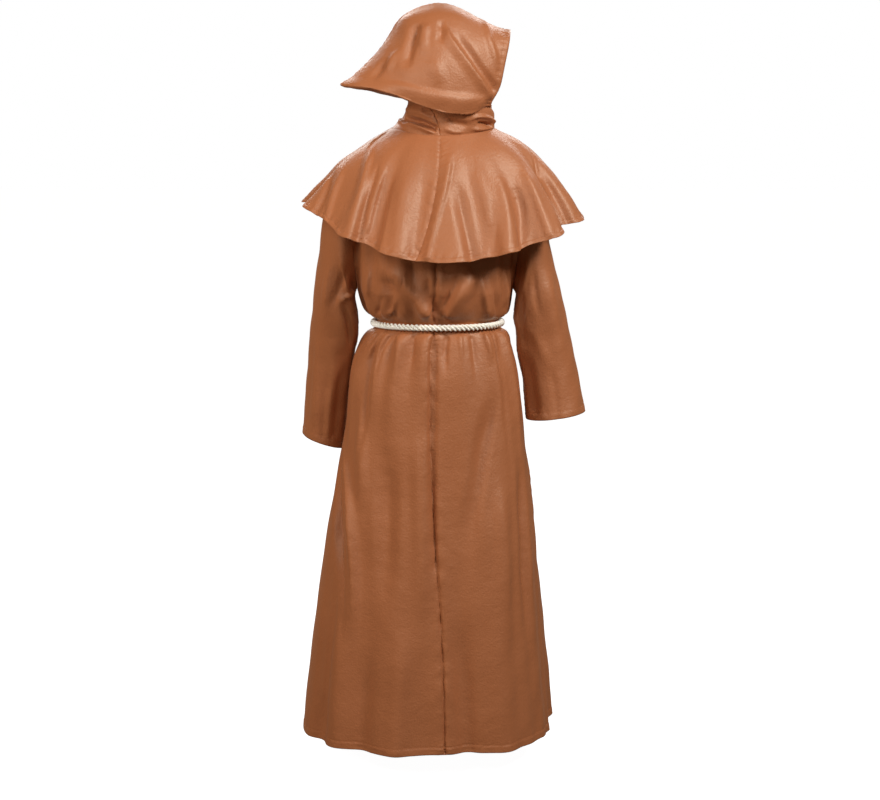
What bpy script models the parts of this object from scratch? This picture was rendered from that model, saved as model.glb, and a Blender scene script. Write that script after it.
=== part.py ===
"""Monk costume: an ankle-length robe, a hooded shoulder cape and a rope belt, as worn.

Metres, +Z up. The centre back faces -Y and the centre front +Y, so +X is the right side.
The origin is the middle of the neck seam, level with the tops of the shoulders.
Angles go round the body from +X (0) by the front (90) and the left (180) to the back (270).
"""
import math
from collections import namedtuple

import bpy
import bmesh
from mathutils import Vector

OBJECT_NAME = "monk_costume"

# Cloth
WALL = 0.002            # thickness of the cloth wall
SEAM = 0.0003           # gap between two pieces at a seam
SEAT = 0.0009           # gap between the cape and the robe's shoulder seam that carries it

# Robe body: half-widths and depths of its level rings, from the hem up to the underarms
HEM = -1.388
WAIST = -0.427
UNDERARM = -0.350
RING_SQUARENESS = 2.15
BodyRow = namedtuple("BodyRow", "height left right back front gather seam_turn")
BODY_ROWS = (
    BodyRow(-1.388, 0.324, 0.262, 0.205, 0.195, 0.000, 2.0),
    BodyRow(-1.160, 0.298, 0.243, 0.186, 0.180, 0.000, 1.0),
    BodyRow(-0.900, 0.261, 0.222, 0.164, 0.160, 0.000, -2.0),
    BodyRow(-0.670, 0.218, 0.194, 0.143, 0.141, 0.001, -5.0),
    BodyRow(-0.545, 0.203, 0.176, 0.135, 0.132, 0.003, -5.0),
    BodyRow(-0.473, 0.178, 0.159, 0.124, 0.120, 0.005, -5.0),
    BodyRow(-0.447, 0.162, 0.149, 0.116, 0.112, 0.004, -4.0),
    BodyRow(-0.436, 0.144, 0.133, 0.108, 0.104, 0.001, -4.0),
    BodyRow(-0.427, 0.143, 0.132, 0.107, 0.103, 0.000, -4.0),
    BodyRow(-0.418, 0.144, 0.133, 0.108, 0.104, 0.001, -4.0),
    BodyRow(-0.407, 0.162, 0.149, 0.117, 0.113, 0.004, -4.0),
    BodyRow(-0.390, 0.173, 0.155, 0.127, 0.119, 0.005, -3.0),
    BodyRow(-0.350, 0.186, 0.163, 0.141, 0.131, 0.003, -2.0),
)
BODY_LEVELS = (-1.388, -1.300, -1.200, -1.100, -1.000, -0.900, -0.800, -0.710, -0.630, -0.560,
               -0.505, -0.470, -0.447, -0.436, -0.427, -0.418, -0.407, -0.390, -0.370, -0.350)
GATHERS = 16            # small gathers drawn in round the belt
GATHER_DRIFT = 1.3      # how far the gathers' spacing varies round the waist, in radians
GATHER_SWINGS = 3.0     # times that it varies in one turn
BODY_COLUMNS = 60       # points round a body ring

# Robe folds: where each stands round the skirt, how far it reaches and where it fades out
FOLD_SPREAD = 1.2       # how soon below its top a fold has its full depth
SkirtFold = namedtuple("SkirtFold", "angle half_width depth top")
SKIRT_FOLDS = (
    SkirtFold(0, 11, -0.024, -0.58),
    SkirtFold(22, 13, 0.028, -0.58),
    SkirtFold(44, 11, -0.009, -0.66),
    SkirtFold(63, 12, 0.014, -0.55),
    SkirtFold(84, 11, -0.011, -0.60),
    SkirtFold(104, 12, 0.014, -0.52),
    SkirtFold(126, 11, -0.011, -0.62),
    SkirtFold(147, 12, 0.012, -0.58),
    SkirtFold(168, 10, -0.008, -0.70),
    SkirtFold(209, 10, -0.012, -0.60),
    SkirtFold(223, 11, 0.013, -0.56),
    SkirtFold(251, 16, 0.018, -0.62),
    SkirtFold(280, 11, -0.012, -0.50),
    SkirtFold(301, 13, 0.013, -0.62),
    SkirtFold(330, 12, -0.006, -0.80),
    SkirtFold(344, 9, -0.006, -0.70),
)

# Robe panels: the angle where each starts, and which of its edges is cut out for the armhole
RobePanel = namedtuple("RobePanel", "name first side armhole_edge forward")
ROBE_PANELS = (
    RobePanel("robe_back_left", 180.0, "left", "start", -1.0),
    RobePanel("robe_back_right", 270.0, "right", "end", -1.0),
    RobePanel("robe_front_right", 0.0, "right", "start", 1.0),
    RobePanel("robe_front_left", 90.0, "left", "end", 1.0),
)

# Robe top: armholes, shoulder seams and neckline, under the cape
UPPER_STEPS = (0.14, 0.28, 0.43, 0.58, 0.72, 0.86, 1.0)
EDGE_POWER = 3          # how close to an armhole the cloth starts to rise straight up
BOW_POWER = 4           # how close to an armhole the cloth starts to bow with it
ARMHOLE_BOW = 0.065     # how far each armhole edge bows to the back or front
SHOULDER_START = 0.07   # where the shoulder seam starts, as a share of the cape's length
SHOULDER_END = {"left": 0.43, "right": 0.33}
NECKLINE_SHARE = 0.5    # share of a panel's half-width that ends at the neckline
NECKLINE = {"back": (-0.098, -0.034), "front": (0.095, -0.078)}   # y and z at the middle

# Cape: reach and height of its rings, from the neck seam (0) to the hem (1)
CapeRow = namedtuple("CapeRow", "share left left_z right right_z back back_z front front_z")
CAPE_ROWS = (
    CapeRow(0.00, 0.108, 0.013, 0.122, 0.012, 0.085, -0.004, 0.080, -0.030),
    CapeRow(0.25, 0.164, -0.021, 0.187, -0.023, 0.122, -0.055, 0.115, -0.078),
    CapeRow(0.50, 0.219, -0.059, 0.241, -0.073, 0.150, -0.120, 0.145, -0.142),
    CapeRow(0.75, 0.265, -0.106, 0.284, -0.131, 0.179, -0.195, 0.174, -0.213),
    CapeRow(1.00, 0.308, -0.154, 0.318, -0.190, 0.212, -0.274, 0.204, -0.292),
)
CAPE_STEPS = (0.0, 0.07, 0.16, 0.28, 0.40, 0.52, 0.64, 0.76, 0.88, 1.0)
CAPE_COLUMNS = 72       # points round a cape ring
CAPE_TWIST = 10.0       # degrees that the back seam drifts to the left on its way down
FOLD_GROWTH = 1.6       # power by which the cape's folds deepen towards the hem
CapeFold = namedtuple("CapeFold", "angle half_width depth")
CAPE_FOLDS = (
    CapeFold(5, 10, 0.010),
    CapeFold(20, 9, -0.013),
    CapeFold(36, 11, 0.013),
    CapeFold(52, 9, -0.012),
    CapeFold(68, 11, 0.013),
    CapeFold(84, 9, -0.011),
    CapeFold(99, 11, 0.013),
    CapeFold(115, 9, -0.012),
    CapeFold(131, 11, 0.014),
    CapeFold(147, 9, -0.011),
    CapeFold(162, 9, 0.007),
    CapeFold(178, 9, 0.006),
    CapeFold(187, 8, -0.012),
    CapeFold(196, 9, 0.009),
    CapeFold(212, 10, -0.007),
    CapeFold(228, 9, 0.015),
    CapeFold(238, 8, -0.017),
    CapeFold(251, 10, 0.009),
    CapeFold(262, 8, -0.006),
    CapeFold(275, 12, 0.010),
    CapeFold(288, 9, -0.013),
    CapeFold(299, 9, 0.009),
    CapeFold(309, 8, -0.012),
    CapeFold(322, 10, 0.016),
    CapeFold(336, 9, -0.030),
    CapeFold(350, 10, 0.010),
)

# Sleeves: the outer and inner edges seen from the back, from the armhole (0) to the cuff (1)
SleeveRow = namedtuple("SleeveRow", "share outer outer_z inner inner_z middle_y half_depth")
SLEEVES = {
    "left": (
        SleeveRow(0.00, 0.205, -0.060, 0.186, -0.350, 0.000, 0.062),
        SleeveRow(0.10, 0.240, -0.100, 0.191, -0.366, 0.002, 0.066),
        SleeveRow(0.20, 0.258, -0.152, 0.191, -0.386, 0.005, 0.068),
        SleeveRow(0.33, 0.269, -0.222, 0.187, -0.422, 0.010, 0.068),
        SleeveRow(0.50, 0.286, -0.340, 0.188, -0.480, 0.024, 0.066),
        SleeveRow(0.67, 0.301, -0.462, 0.202, -0.553, 0.050, 0.063),
        SleeveRow(0.83, 0.313, -0.583, 0.213, -0.645, 0.074, 0.066),
        SleeveRow(1.00, 0.324, -0.700, 0.220, -0.734, 0.095, 0.073),
    ),
    "right": (
        SleeveRow(0.00, 0.205, -0.060, 0.163, -0.350, 0.000, 0.062),
        SleeveRow(0.10, 0.231, -0.112, 0.169, -0.362, 0.001, 0.066),
        SleeveRow(0.20, 0.240, -0.166, 0.171, -0.376, 0.003, 0.068),
        SleeveRow(0.33, 0.247, -0.234, 0.170, -0.396, 0.007, 0.068),
        SleeveRow(0.50, 0.272, -0.338, 0.168, -0.434, 0.012, 0.066),
        SleeveRow(0.67, 0.296, -0.442, 0.175, -0.496, 0.018, 0.063),
        SleeveRow(0.83, 0.317, -0.540, 0.191, -0.566, 0.024, 0.067),
        SleeveRow(1.00, 0.337, -0.635, 0.199, -0.654, 0.024, 0.075),
    ),
}
SLEEVE_STEPS = (0.0, 0.06, 0.14, 0.24, 0.35, 0.46, 0.57, 0.68, 0.79, 0.90, 1.0)
SLEEVE_COLUMNS = 24
SLEEVE_BLEND = 0.30     # share of the sleeve over which the armhole's outline turns round
SleeveFold = namedtuple("SleeveFold", "angle half_width depth share spread")
SLEEVE_FOLDS = (
    SleeveFold(250, 40, -0.006, 0.34, 0.14),
    SleeveFold(300, 34, 0.005, 0.50, 0.18),
    SleeveFold(235, 34, -0.005, 0.66, 0.14),
    SleeveFold(110, 40, -0.006, 0.42, 0.16),
    SleeveFold(60, 34, 0.004, 0.72, 0.18),
    SleeveFold(180, 40, -0.006, 0.56, 0.12),
)

# Hood: rings from the neck seam (0) up over the bag to the top seam (9)
HoodRow = namedtuple("HoodRow",
                     "x back front near far turn point open_to back_z near_z far_z front_z droop")
HOOD_ROWS = (
    HoodRow(0.000, 0.085, 0.080, 0.122, 0.108, 0, 1.00, 170, -0.004, 0.013, 0.013, -0.030, 2.0),
    HoodRow(0.012, 0.086, 0.088, 0.110, 0.100, -12, 1.00, 160, 0.026, 0.030, 0.030, 0.002, 2.0),
    HoodRow(0.020, 0.092, 0.094, 0.102, 0.098, -28, 1.00, 148, 0.054, 0.052, 0.052, 0.034, 2.0),
    HoodRow(0.018, 0.102, 0.100, 0.096, 0.096, -50, 1.10, 134, 0.082, 0.070, 0.072, 0.060, 2.0),
    HoodRow(0.000, 0.224, 0.160, 0.114, 0.108, -70, 1.45, 124, 0.101, 0.044, 0.074, 0.062, 5.5),
    HoodRow(0.000, 0.203, 0.196, 0.118, 0.112, -73, 1.45, 124, 0.124, 0.096, 0.112, 0.099, 3.0),
    HoodRow(0.000, 0.170, 0.219, 0.114, 0.110, -74, 1.35, 124, 0.152, 0.150, 0.154, 0.142, 2.0),
    HoodRow(0.000, 0.121, 0.244, 0.097, 0.096, -75, 1.20, 124, 0.206, 0.206, 0.206, 0.192, 2.0),
    HoodRow(0.000, 0.097, 0.266, 0.060, 0.060, -75, 1.05, 124, 0.245, 0.262, 0.262, 0.221, 2.0),
    HoodRow(0.000, 0.082, 0.292, 0.000, 0.000, -75, 1.00, 124, 0.261, 0.287, 0.287, 0.230, 2.0),
)
HOOD_STEPS = (0.0, 0.5, 1.0, 2.0, 3.0, 3.5, 4.0, 4.5, 5.0, 6.0, 7.0, 8.0, 8.5, 9.0)
HOOD_COLUMNS = 13
HOOD_LIFT = 0.0004      # gap between the hood's lower edge and the cape's neck edge

# Rope belt: a ring round the waist, its knot at the front, and two hanging ends
ROPE = 0.0155           # diameter of the rope
BELT_POINTS = 52        # points along the rope ring
BELT_GAP = 0.0009       # gap between the rope and the cloth that it draws in
KNOT = (0.044, 0.028, 0.032)
KNOT_FRONT = 0.005      # how far the knot stands off the cloth behind it
KNOT_ROUND = 0.009
END_KNOT = (0.026, 0.026, 0.030)
END_KNOT_ROUND = 0.007
TAIL_GAP = 0.0007       # gap between a rope end and the knot it comes out of

# Rope ends: each route from the knot down the front of the skirt to its own end knot
TAIL_ROUTES = {
    "left": ((-0.011, 0.130, -0.4435), (-0.012, 0.132, -0.470), (-0.015, 0.138, -0.500),
             (-0.020, 0.145, -0.545), (-0.024, 0.151, -0.600), (-0.026, 0.156, -0.660),
             (-0.026, 0.164, -0.720), (-0.025, 0.1705, -0.772), (-0.025, 0.171, -0.800)),
    "right": ((0.011, 0.130, -0.4435), (0.012, 0.132, -0.470), (0.014, 0.138, -0.500),
              (0.019, 0.145, -0.545), (0.024, 0.151, -0.600), (0.028, 0.156, -0.660),
              (0.031, 0.161, -0.720), (0.032, 0.169, -0.780), (0.032, 0.1755, -0.835),
              (0.032, 0.176, -0.865)),
}
TAIL_STEP = 0.020       # spacing of the points along a rope end

Finish = namedtuple("Finish", "name colour roughness")
SATIN = Finish("brown_satin", (0.33, 0.125, 0.052), 0.42)
CORD = Finish("cream_cord", (0.83, 0.76, 0.60), 0.85)


def curve_through(keys, values, at):
    """Value at one place on the smooth curve through a table's rows."""
    last = len(keys) - 1
    rising = keys[-1] > keys[0]
    right = last
    for index in range(1, last + 1):
        if (at <= keys[index]) == rising or at == keys[index]:
            right = index
            break
    left = right - 1
    span = keys[right] - keys[left]

    def slope(index):
        before, after = max(index - 1, 0), min(index + 1, last)
        return (values[after] - values[before]) / (keys[after] - keys[before])

    share = (at - keys[left]) / span
    square, cube = share * share, share * share * share
    return ((2 * cube - 3 * square + 1) * values[left] + (cube - 2 * square + share) * span * slope(left)
            + (3 * square - 2 * cube) * values[right] + (cube - square) * span * slope(right))


def read_row(rows, at, key):
    """One row of a table of named columns, worked out between its own rows."""
    keys = [getattr(row, key) for row in rows]
    return rows[0]._make(curve_through(keys, column, at) for column in zip(*rows))


def turn_between(angle, centre):
    """Signed difference of two angles in degrees, from -180 to 180."""
    return (angle - centre + 180.0) % 360.0 - 180.0


def bump(offset, half_width):
    """A soft rise from 0 at the half-width to 1 in the middle."""
    if abs(offset) >= half_width:
        return 0.0
    return 0.5 * (1.0 + math.cos(math.pi * offset / half_width))


def ease(share):
    """A share from 0 to 1 that starts and ends softly."""
    share = min(max(share, 0.0), 1.0)
    return share * share * (3.0 - 2.0 * share)


def body_ring(angle, height):
    """Point of the robe at one angle and level, from the hem to the underarms."""
    row = read_row(BODY_ROWS, height, "height")
    to_back = max(0.0, -math.sin(math.radians(angle)))
    turned = math.radians(angle + row.seam_turn * to_back)
    across, deep = math.cos(turned), math.sin(turned)
    power = 2.0 / RING_SQUARENESS
    reach_x = row.right if across > 0 else row.left
    reach_y = row.front if deep > 0 else row.back
    x = math.copysign(abs(across) ** power, across) * reach_x
    y = math.copysign(abs(deep) ** power, deep) * reach_y
    fold = sum(f.depth * bump(turn_between(angle, f.angle), f.half_width)
               * ease((f.top - height) / (f.top - HEM) * FOLD_SPREAD) for f in SKIRT_FOLDS)
    radians = math.radians(angle)
    fold += row.gather * math.cos(GATHERS * radians + GATHER_DRIFT * math.sin(GATHER_SWINGS * radians))
    return Vector((x + fold * across, y + fold * deep, height))


def cape_point(angle, share):
    """Point of the cape at one angle, at a share of its length below the neck seam."""
    row = read_row(CAPE_ROWS, share, "share")
    to_back = max(0.0, -math.sin(math.radians(angle)))
    turned = angle - CAPE_TWIST * share * share * to_back
    across, deep = math.cos(math.radians(turned)), math.sin(math.radians(turned))
    reach_x, side_z = (row.right, row.right_z) if across > 0 else (row.left, row.left_z)
    reach_y, end_z = (row.front, row.front_z) if deep > 0 else (row.back, row.back_z)
    fold = sum(f.depth * bump(turn_between(turned, f.angle), f.half_width) for f in CAPE_FOLDS)
    fold *= max(share, 0.0) ** FOLD_GROWTH
    return Vector(((reach_x + fold) * across, (reach_y + fold) * deep,
                   side_z * across * across + end_z * deep * deep))


def under_cape(angle, share):
    """Point just below the cape's inner side, where the robe's shoulder seam carries it."""
    nearby, beside = 0.01, 1.0
    here = cape_point(angle, share)
    along = cape_point(angle, share + nearby) - cape_point(angle, share - nearby)
    around = cape_point(angle + beside, share) - cape_point(angle - beside, share)
    outward = along.cross(around).normalized()
    if outward.z < 0:
        outward.negate()
    return here - outward * (WALL + SEAT)


def shoulder_end(side):
    """Outer end of a shoulder seam, at the top of the armhole."""
    return under_cape(180.0 if side == "left" else 0.0, SHOULDER_END[side])


def robe_top(angle):
    """Point of a robe panel's top edge: along the shoulder seam, then round the neckline."""
    side = "left" if math.cos(math.radians(angle)) < 0 else "right"
    face = "front" if 0.0 <= angle <= 180.0 else "back"
    middle = 90.0 if face == "front" else 270.0
    share = abs(turn_between(angle, middle)) / 90.0
    side_angle = 180.0 if side == "left" else 0.0
    neck = under_cape(side_angle, SHOULDER_START)
    if share >= NECKLINE_SHARE:
        along = (share - NECKLINE_SHARE) / (1.0 - NECKLINE_SHARE)
        return under_cape(side_angle, SHOULDER_START + along * (SHOULDER_END[side] - SHOULDER_START))
    swing = math.radians(90.0 * share / NECKLINE_SHARE)
    middle_y, middle_z = NECKLINE[face]
    drop = (middle_z - neck.z) * math.cos(swing) ** 2
    return Vector((neck.x * math.sin(swing), middle_y * math.cos(swing), neck.z + drop))


def body_upper(angle, share):
    """Point of the robe between the underarm level (0) and its top edge (1)."""
    start, end = body_ring(angle, UNDERARM), robe_top(angle)
    if share >= 1.0:
        return end
    sideways = abs(math.cos(math.radians(angle)))
    off_middle = abs(turn_between(angle, 90.0 if 0.0 <= angle <= 180.0 else 270.0)) / 90.0
    edge = off_middle ** EDGE_POWER
    forward = 1.0 if 0.0 <= angle <= 180.0 else -1.0
    quarter = 0.5 * math.pi * share
    rise = (1.0 - edge) * math.sin(quarter) + edge * share
    lean = (1.0 - edge) * (1.0 - math.cos(quarter)) + edge * share
    bow = forward * ARMHOLE_BOW * math.sin(math.pi * share) * sideways * off_middle ** BOW_POWER
    return Vector((start.x + (end.x - start.x) * lean,
                   start.y + (end.y - start.y) * lean + bow,
                   start.z + (end.z - start.z) * rise))


def armhole(side, share, forward):
    """Point of an armhole's edge, from the underarm (0) to the shoulder (1)."""
    angle = 180.0 if side == "left" else 0.0
    start, end = body_ring(angle, UNDERARM), shoulder_end(side)
    point = start.lerp(end, share)
    point.y += forward * ARMHOLE_BOW * math.sin(math.pi * share)
    return point


def armhole_facing(side):
    """Unit vector out of the plane of an armhole, towards its sleeve."""
    rise = armhole(side, 1.0, 0.0) - armhole(side, 0.0, 0.0)
    facing = rise.cross(Vector((0.0, 1.0, 0.0))).normalized()
    outward = -1.0 if side == "left" else 1.0
    return facing if facing.x * outward > 0 else -facing


def sleeve_point(side, angle, share):
    """Point of a sleeve: angle 0 is its outer edge and 180 its underarm side."""
    outward = -1.0 if side == "left" else 1.0
    row = read_row(SLEEVES[side], share, "share")
    radians = math.radians(angle)

    def oval(section):
        outer = Vector((outward * section.outer, section.middle_y, section.outer_z))
        inner = Vector((outward * section.inner, section.middle_y, section.inner_z))
        half = (outer - inner) * 0.5
        fold = sum(f.depth * bump(turn_between(angle, f.angle), f.half_width)
                   * bump(share - f.share, f.spread) for f in SLEEVE_FOLDS)
        depth = Vector((0.0, section.half_depth, 0.0))
        rim = half * math.cos(radians) + depth * math.sin(radians)
        return (outer + inner) * 0.5 + rim + rim.normalized() * fold

    height = 0.5 * (1.0 + math.cos(radians))
    edge = armhole(side, height, math.copysign(1.0, math.sin(radians)))
    edge += armhole_facing(side) * SEAM
    pull = 1.0 - ease(share / SLEEVE_BLEND)
    return oval(row) + (edge - oval(SLEEVES[side][0])) * pull


def hood_point(side, angle, level):
    """Point of a hood panel: angle 0 is the back seam, and the level runs from neck to top."""
    if level > len(HOOD_ROWS) - 1:
        return hood_point("left" if side == "right" else "right", angle, 2 * (len(HOOD_ROWS) - 1) - level)
    columns = zip(*HOOD_ROWS)
    row = HoodRow(*(curve_through(range(len(HOOD_ROWS)), values, level) for values in columns))
    around = angle * row.open_to
    radians = math.radians(around)
    along = row.back if around < 90.0 else row.front
    reach, side_z = (row.near, row.near_z) if side == "right" else (row.far, row.far_z)
    wide = reach * math.sin(radians) ** row.point
    if around < 90.0:
        height = row.back_z + (side_z - row.back_z) * math.sin(radians) ** row.droop
    else:
        past = 0.5 * math.pi * (around - 90.0) / (row.open_to - 90.0)
        height = side_z + (row.front_z - side_z) * math.sin(past) ** 2
    heading = math.radians(-90.0 + row.turn)
    hand = 1.0 if side == "right" else -1.0
    back = Vector((math.cos(heading), math.sin(heading), 0.0))
    across = Vector((-math.sin(heading), math.cos(heading), 0.0)) * hand
    shaped = back * (along * math.cos(radians)) + across * wide + Vector((row.x, 0.0, height))
    if level >= 1.0:
        return shaped
    seated = cape_point(-90.0 + hand * around, 0.0) + Vector((0.0, 0.0, HOOD_LIFT))
    return seated.lerp(shaped, ease(level))


def key_of(point):
    """A point's coordinates, rounded so that shared seam points compare equal."""
    return tuple(round(value, 6) for value in point)


class Garment:
    """Panels that share their seams, so that their walls are offset in the same directions."""

    def __init__(self):
        self.panels = {}
        self.normals = {}

    def add(self, name, grid, closed=False, outside=1.0):
        """Adds a panel as rows of points; outside is -1 where its rows run the other way."""
        self.panels[name] = (grid, closed, outside)
        for a, b, c, d in self.cells(grid, closed):
            quad = [grid[i][j] for i, j in (a, b, c, d)]
            normal = (quad[2] - quad[0]).cross(quad[3] - quad[1]) * outside
            if normal.length > 0:
                normal.normalize()
            for point in quad:
                total = self.normals.setdefault(key_of(point), Vector())
                total += normal

    @staticmethod
    def cells(grid, closed):
        """Corners of each cell of a grid, as (row, column) pairs."""
        columns = len(grid[0])
        for i in range(len(grid) - 1):
            for j in range(columns if closed else columns - 1):
                k = (j + 1) % columns
                yield (i, j), (i, k), (i + 1, k), (i + 1, j)

    def normal(self, point):
        """Outward direction that all panels share at a point."""
        return self.normals[key_of(point)].normalized()

    def wall(self, name, seams=(), flat=None, finish=SATIN):
        """Builds a panel's closed wall; seams names the edges that are pulled back by half a gap."""
        grid, closed, outside = self.panels[name]
        rows, columns = len(grid), len(grid[0])
        outer, inner = [], []
        for i in range(rows):
            outer.append([])
            inner.append([])
            for j in range(columns):
                point = grid[i][j]
                normal = self.normal(point)
                if flat:
                    plane = flat(i, j)
                    if plane is not None:
                        normal = (normal - plane * normal.dot(plane)).normalized()
                shift = Vector()
                for seam in seams:
                    shift += self.pull(grid, i, j, seam, normal)
                outer[i].append(point + shift)
                inner[i].append(point + shift - normal * WALL)
        return build_wall(name, outer, inner, closed, outside, finish)

    @staticmethod
    def pull(grid, i, j, seam, normal):
        """How far a seam point moves into its own panel: seam is (edge, first place, last place)."""
        edge, first, last = seam
        last_row, last_column = len(grid) - 1, len(grid[0]) - 1
        on_edge = {"start": j == 0, "end": j == last_column, "top": i == last_row}[edge]
        place, furthest = (j, last_column) if edge == "top" else (i, last_row)
        last = furthest if last is None else last
        if not on_edge or not first <= place <= last:
            return Vector()
        if edge == "top":
            along = grid[i][min(j + 1, last_column)] - grid[i][max(j - 1, 0)]
            beside = 1 if j == 0 else min(j, last_column - 1)
            into = grid[i - 1][beside] - grid[i][j]
        else:
            along = grid[min(i + 1, last)][j] - grid[max(i - 1, first)][j]
            into = grid[min(i, last_row - 1)][1 if j == 0 else j - 1] - grid[i][j]
        sideways = along.cross(normal).normalized()
        if sideways.dot(into) < 0:
            sideways.negate()
        return sideways * (SEAM * 0.5)


def edge_strip(add, pairs, facing):
    """Closes one stretch of a wall's edge; both sides of a seam are split along the same diagonal."""
    (outer_a, inner_a), (outer_b, inner_b) = pairs
    for triangle in ((outer_b, outer_a, inner_b), (outer_a, inner_a, inner_b)):
        add(*(triangle if facing > 0 else triangle[::-1]))


def build_wall(name, outer, inner, closed, outside, finish):
    """Makes a closed cloth wall from its outer and inner rows of points."""
    rows, columns = len(outer), len(outer[0])
    mesh = bmesh.new()
    skins = [[[mesh.verts.new(point) for point in row] for row in skin] for skin in (outer, inner)]

    def add(*corners):
        face = mesh.faces.new(corners if outside > 0 else corners[::-1])
        face.smooth = True

    for a, b, c, d in Garment.cells(outer, closed):
        diagonal_ac = (outer[a[0]][a[1]] - outer[c[0]][c[1]]).length
        diagonal_bd = (outer[b[0]][b[1]] - outer[d[0]][d[1]]).length
        splits = ((a, b, c), (a, c, d)) if diagonal_ac <= diagonal_bd else ((a, b, d), (b, c, d))
        for triangle in splits:
            add(*(skins[0][i][j] for i, j in triangle))
            add(*(skins[1][i][j] for i, j in reversed(triangle)))
    for j in range(columns if closed else columns - 1):
        k = (j + 1) % columns
        for row, facing in ((0, 1), (-1, -1)):
            edge_strip(add, [(skins[0][row][q], skins[1][row][q]) for q in (j, k)], facing)
    if not closed:
        for i in range(rows - 1):
            for column, facing in ((0, -1), (-1, 1)):
                edge_strip(add, [(skins[0][q][column], skins[1][q][column]) for q in (i, i + 1)], facing)
    return finish_mesh(name, mesh, finish)


def finish_mesh(name, mesh, finish):
    """Turns a bmesh into a named object of the costume with its own material."""
    data = bpy.data.meshes.new(name)
    mesh.to_mesh(data)
    mesh.free()
    return finish_object(bpy.data.objects.new(name, data), name, finish)


def finish_object(piece, name, finish):
    """Gives an object its own material and puts it in the costume's collection."""
    material = bpy.data.materials.new(name + "_" + finish.name)
    material.use_nodes = True
    shader = material.node_tree.nodes["Principled BSDF"]
    shader.inputs["Base Color"].default_value = (*finish.colour, 1.0)
    shader.inputs["Roughness"].default_value = finish.roughness
    shader.inputs["Metallic"].default_value = 0.0
    material.diffuse_color = (*finish.colour, 1.0)
    piece.data.materials.append(material)
    bpy.data.collections[OBJECT_NAME].objects.link(piece)
    return piece


def steps(first, last, count):
    """Evenly spaced values from first to last, both included."""
    return [first + (last - first) * index / (count - 1) for index in range(count)]


def build_robe():
    """The robe's two back panels and two front panels."""
    robe = Garment()
    last_column = BODY_COLUMNS // 4
    underarm_row = len(BODY_LEVELS) - 1
    neck_columns = int(round(last_column * NECKLINE_SHARE))
    for panel in ROBE_PANELS:
        angles = steps(panel.first, panel.first + 90.0, last_column + 1)
        grid = [[body_ring(angle % 360.0, height) for angle in angles] for height in BODY_LEVELS]
        for share in UPPER_STEPS:
            grid.append([panel_upper(panel, angle, share) for angle in angles])
        robe.add(panel.name, grid)
    for panel in ROBE_PANELS:
        if panel.armhole_edge == "start":
            armhole_column = 0
            seams = [("start", 0, underarm_row), ("end", 0, None), ("top", 0, last_column - neck_columns)]
        else:
            armhole_column = last_column
            seams = [("start", 0, None), ("end", 0, underarm_row), ("top", neck_columns, None)]

        def flat(i, j, side=panel.side, column=armhole_column):
            return armhole_facing(side) if i > underarm_row and j == column else None

        robe.wall(panel.name, seams, flat)


def panel_upper(panel, angle, share):
    """Point of a robe panel above the underarms, with its side edge on the armhole."""
    if angle in (0.0, 180.0, 360.0):
        return armhole(panel.side, share, panel.forward if share < 1.0 else 0.0)
    return body_upper(angle % 360.0, share)


def build_cape():
    """The cape's left and right halves, joined at the centre back and centre front."""
    cape = Garment()
    count = CAPE_COLUMNS // 2 + 1
    for name, first, last in (("cape_left", 90.0, 270.0), ("cape_right", -90.0, 90.0)):
        angles = steps(first, last, count)
        cape.add(name, [[cape_point(angle, share) for angle in angles] for share in reversed(CAPE_STEPS)])
    for name in ("cape_left", "cape_right"):
        cape.wall(name, [("start", 0, None), ("end", 0, None)])


def build_hood():
    """The hood's left and right panels, joined along the back and over the top."""
    hood = Garment()
    angles = steps(0.0, 1.0, HOOD_COLUMNS)
    for side in ("left", "right"):
        grid = [[hood_point(side, angle, level) for angle in angles] for level in HOOD_STEPS]
        hood.add("hood_" + side, grid, outside=1.0 if side == "right" else -1.0)
    for side in ("left", "right"):
        hood.wall("hood_" + side, [("start", 0, None), ("top", 0, None)])


def build_sleeves():
    """The two sleeves, each a tube from its armhole to its open cuff."""
    angles = [360.0 * index / SLEEVE_COLUMNS for index in range(SLEEVE_COLUMNS)]
    for side in ("left", "right"):
        sleeve = Garment()
        grid = [[sleeve_point(side, angle, share) for angle in angles] for share in SLEEVE_STEPS]
        sleeve.add("sleeve_" + side, grid, closed=True, outside=1.0 if side == "left" else -1.0)

        def flat(i, j, facing=armhole_facing(side)):
            return facing if i == 0 else None

        sleeve.wall("sleeve_" + side, (), flat)


def smooth_route(points, spacing):
    """Evenly spaced points on the smooth curve through a route's own points."""
    points = [Vector(point) for point in points]
    places = [0.0]
    for before, after in zip(points, points[1:]):
        places.append(places[-1] + (after - before).length)
    count = max(2, int(round(places[-1] / spacing)) + 1)
    return [Vector(curve_through(places, [point[axis] for point in points], at) for axis in range(3))
            for at in steps(0.0, places[-1], count)]


def build_rope(name, points):
    """A round rope along a route, with closed ends."""
    curve = bpy.data.curves.new(name, "CURVE")
    curve.dimensions = "3D"
    curve.bevel_depth = ROPE * 0.5
    curve.bevel_resolution = 2
    curve.use_fill_caps = True
    spline = curve.splines.new("POLY")
    spline.points.add(len(points) - 1)
    for place, point in zip(spline.points, points):
        place.co = (*point, 1.0)
    return finish_object(bpy.data.objects.new(name, curve), name, CORD)


def build_block(name, centre, size, rounding):
    """A rounded block in the place of a knot."""
    mesh = bmesh.new()
    bmesh.ops.create_cube(mesh, size=1.0)
    bmesh.ops.scale(mesh, verts=mesh.verts, vec=size)
    bmesh.ops.translate(mesh, verts=mesh.verts, vec=centre)
    piece = finish_mesh(name, mesh, CORD)
    bevel = piece.modifiers.new("rounding", "BEVEL")
    bevel.width = rounding
    bevel.segments = 2
    return piece


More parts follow.
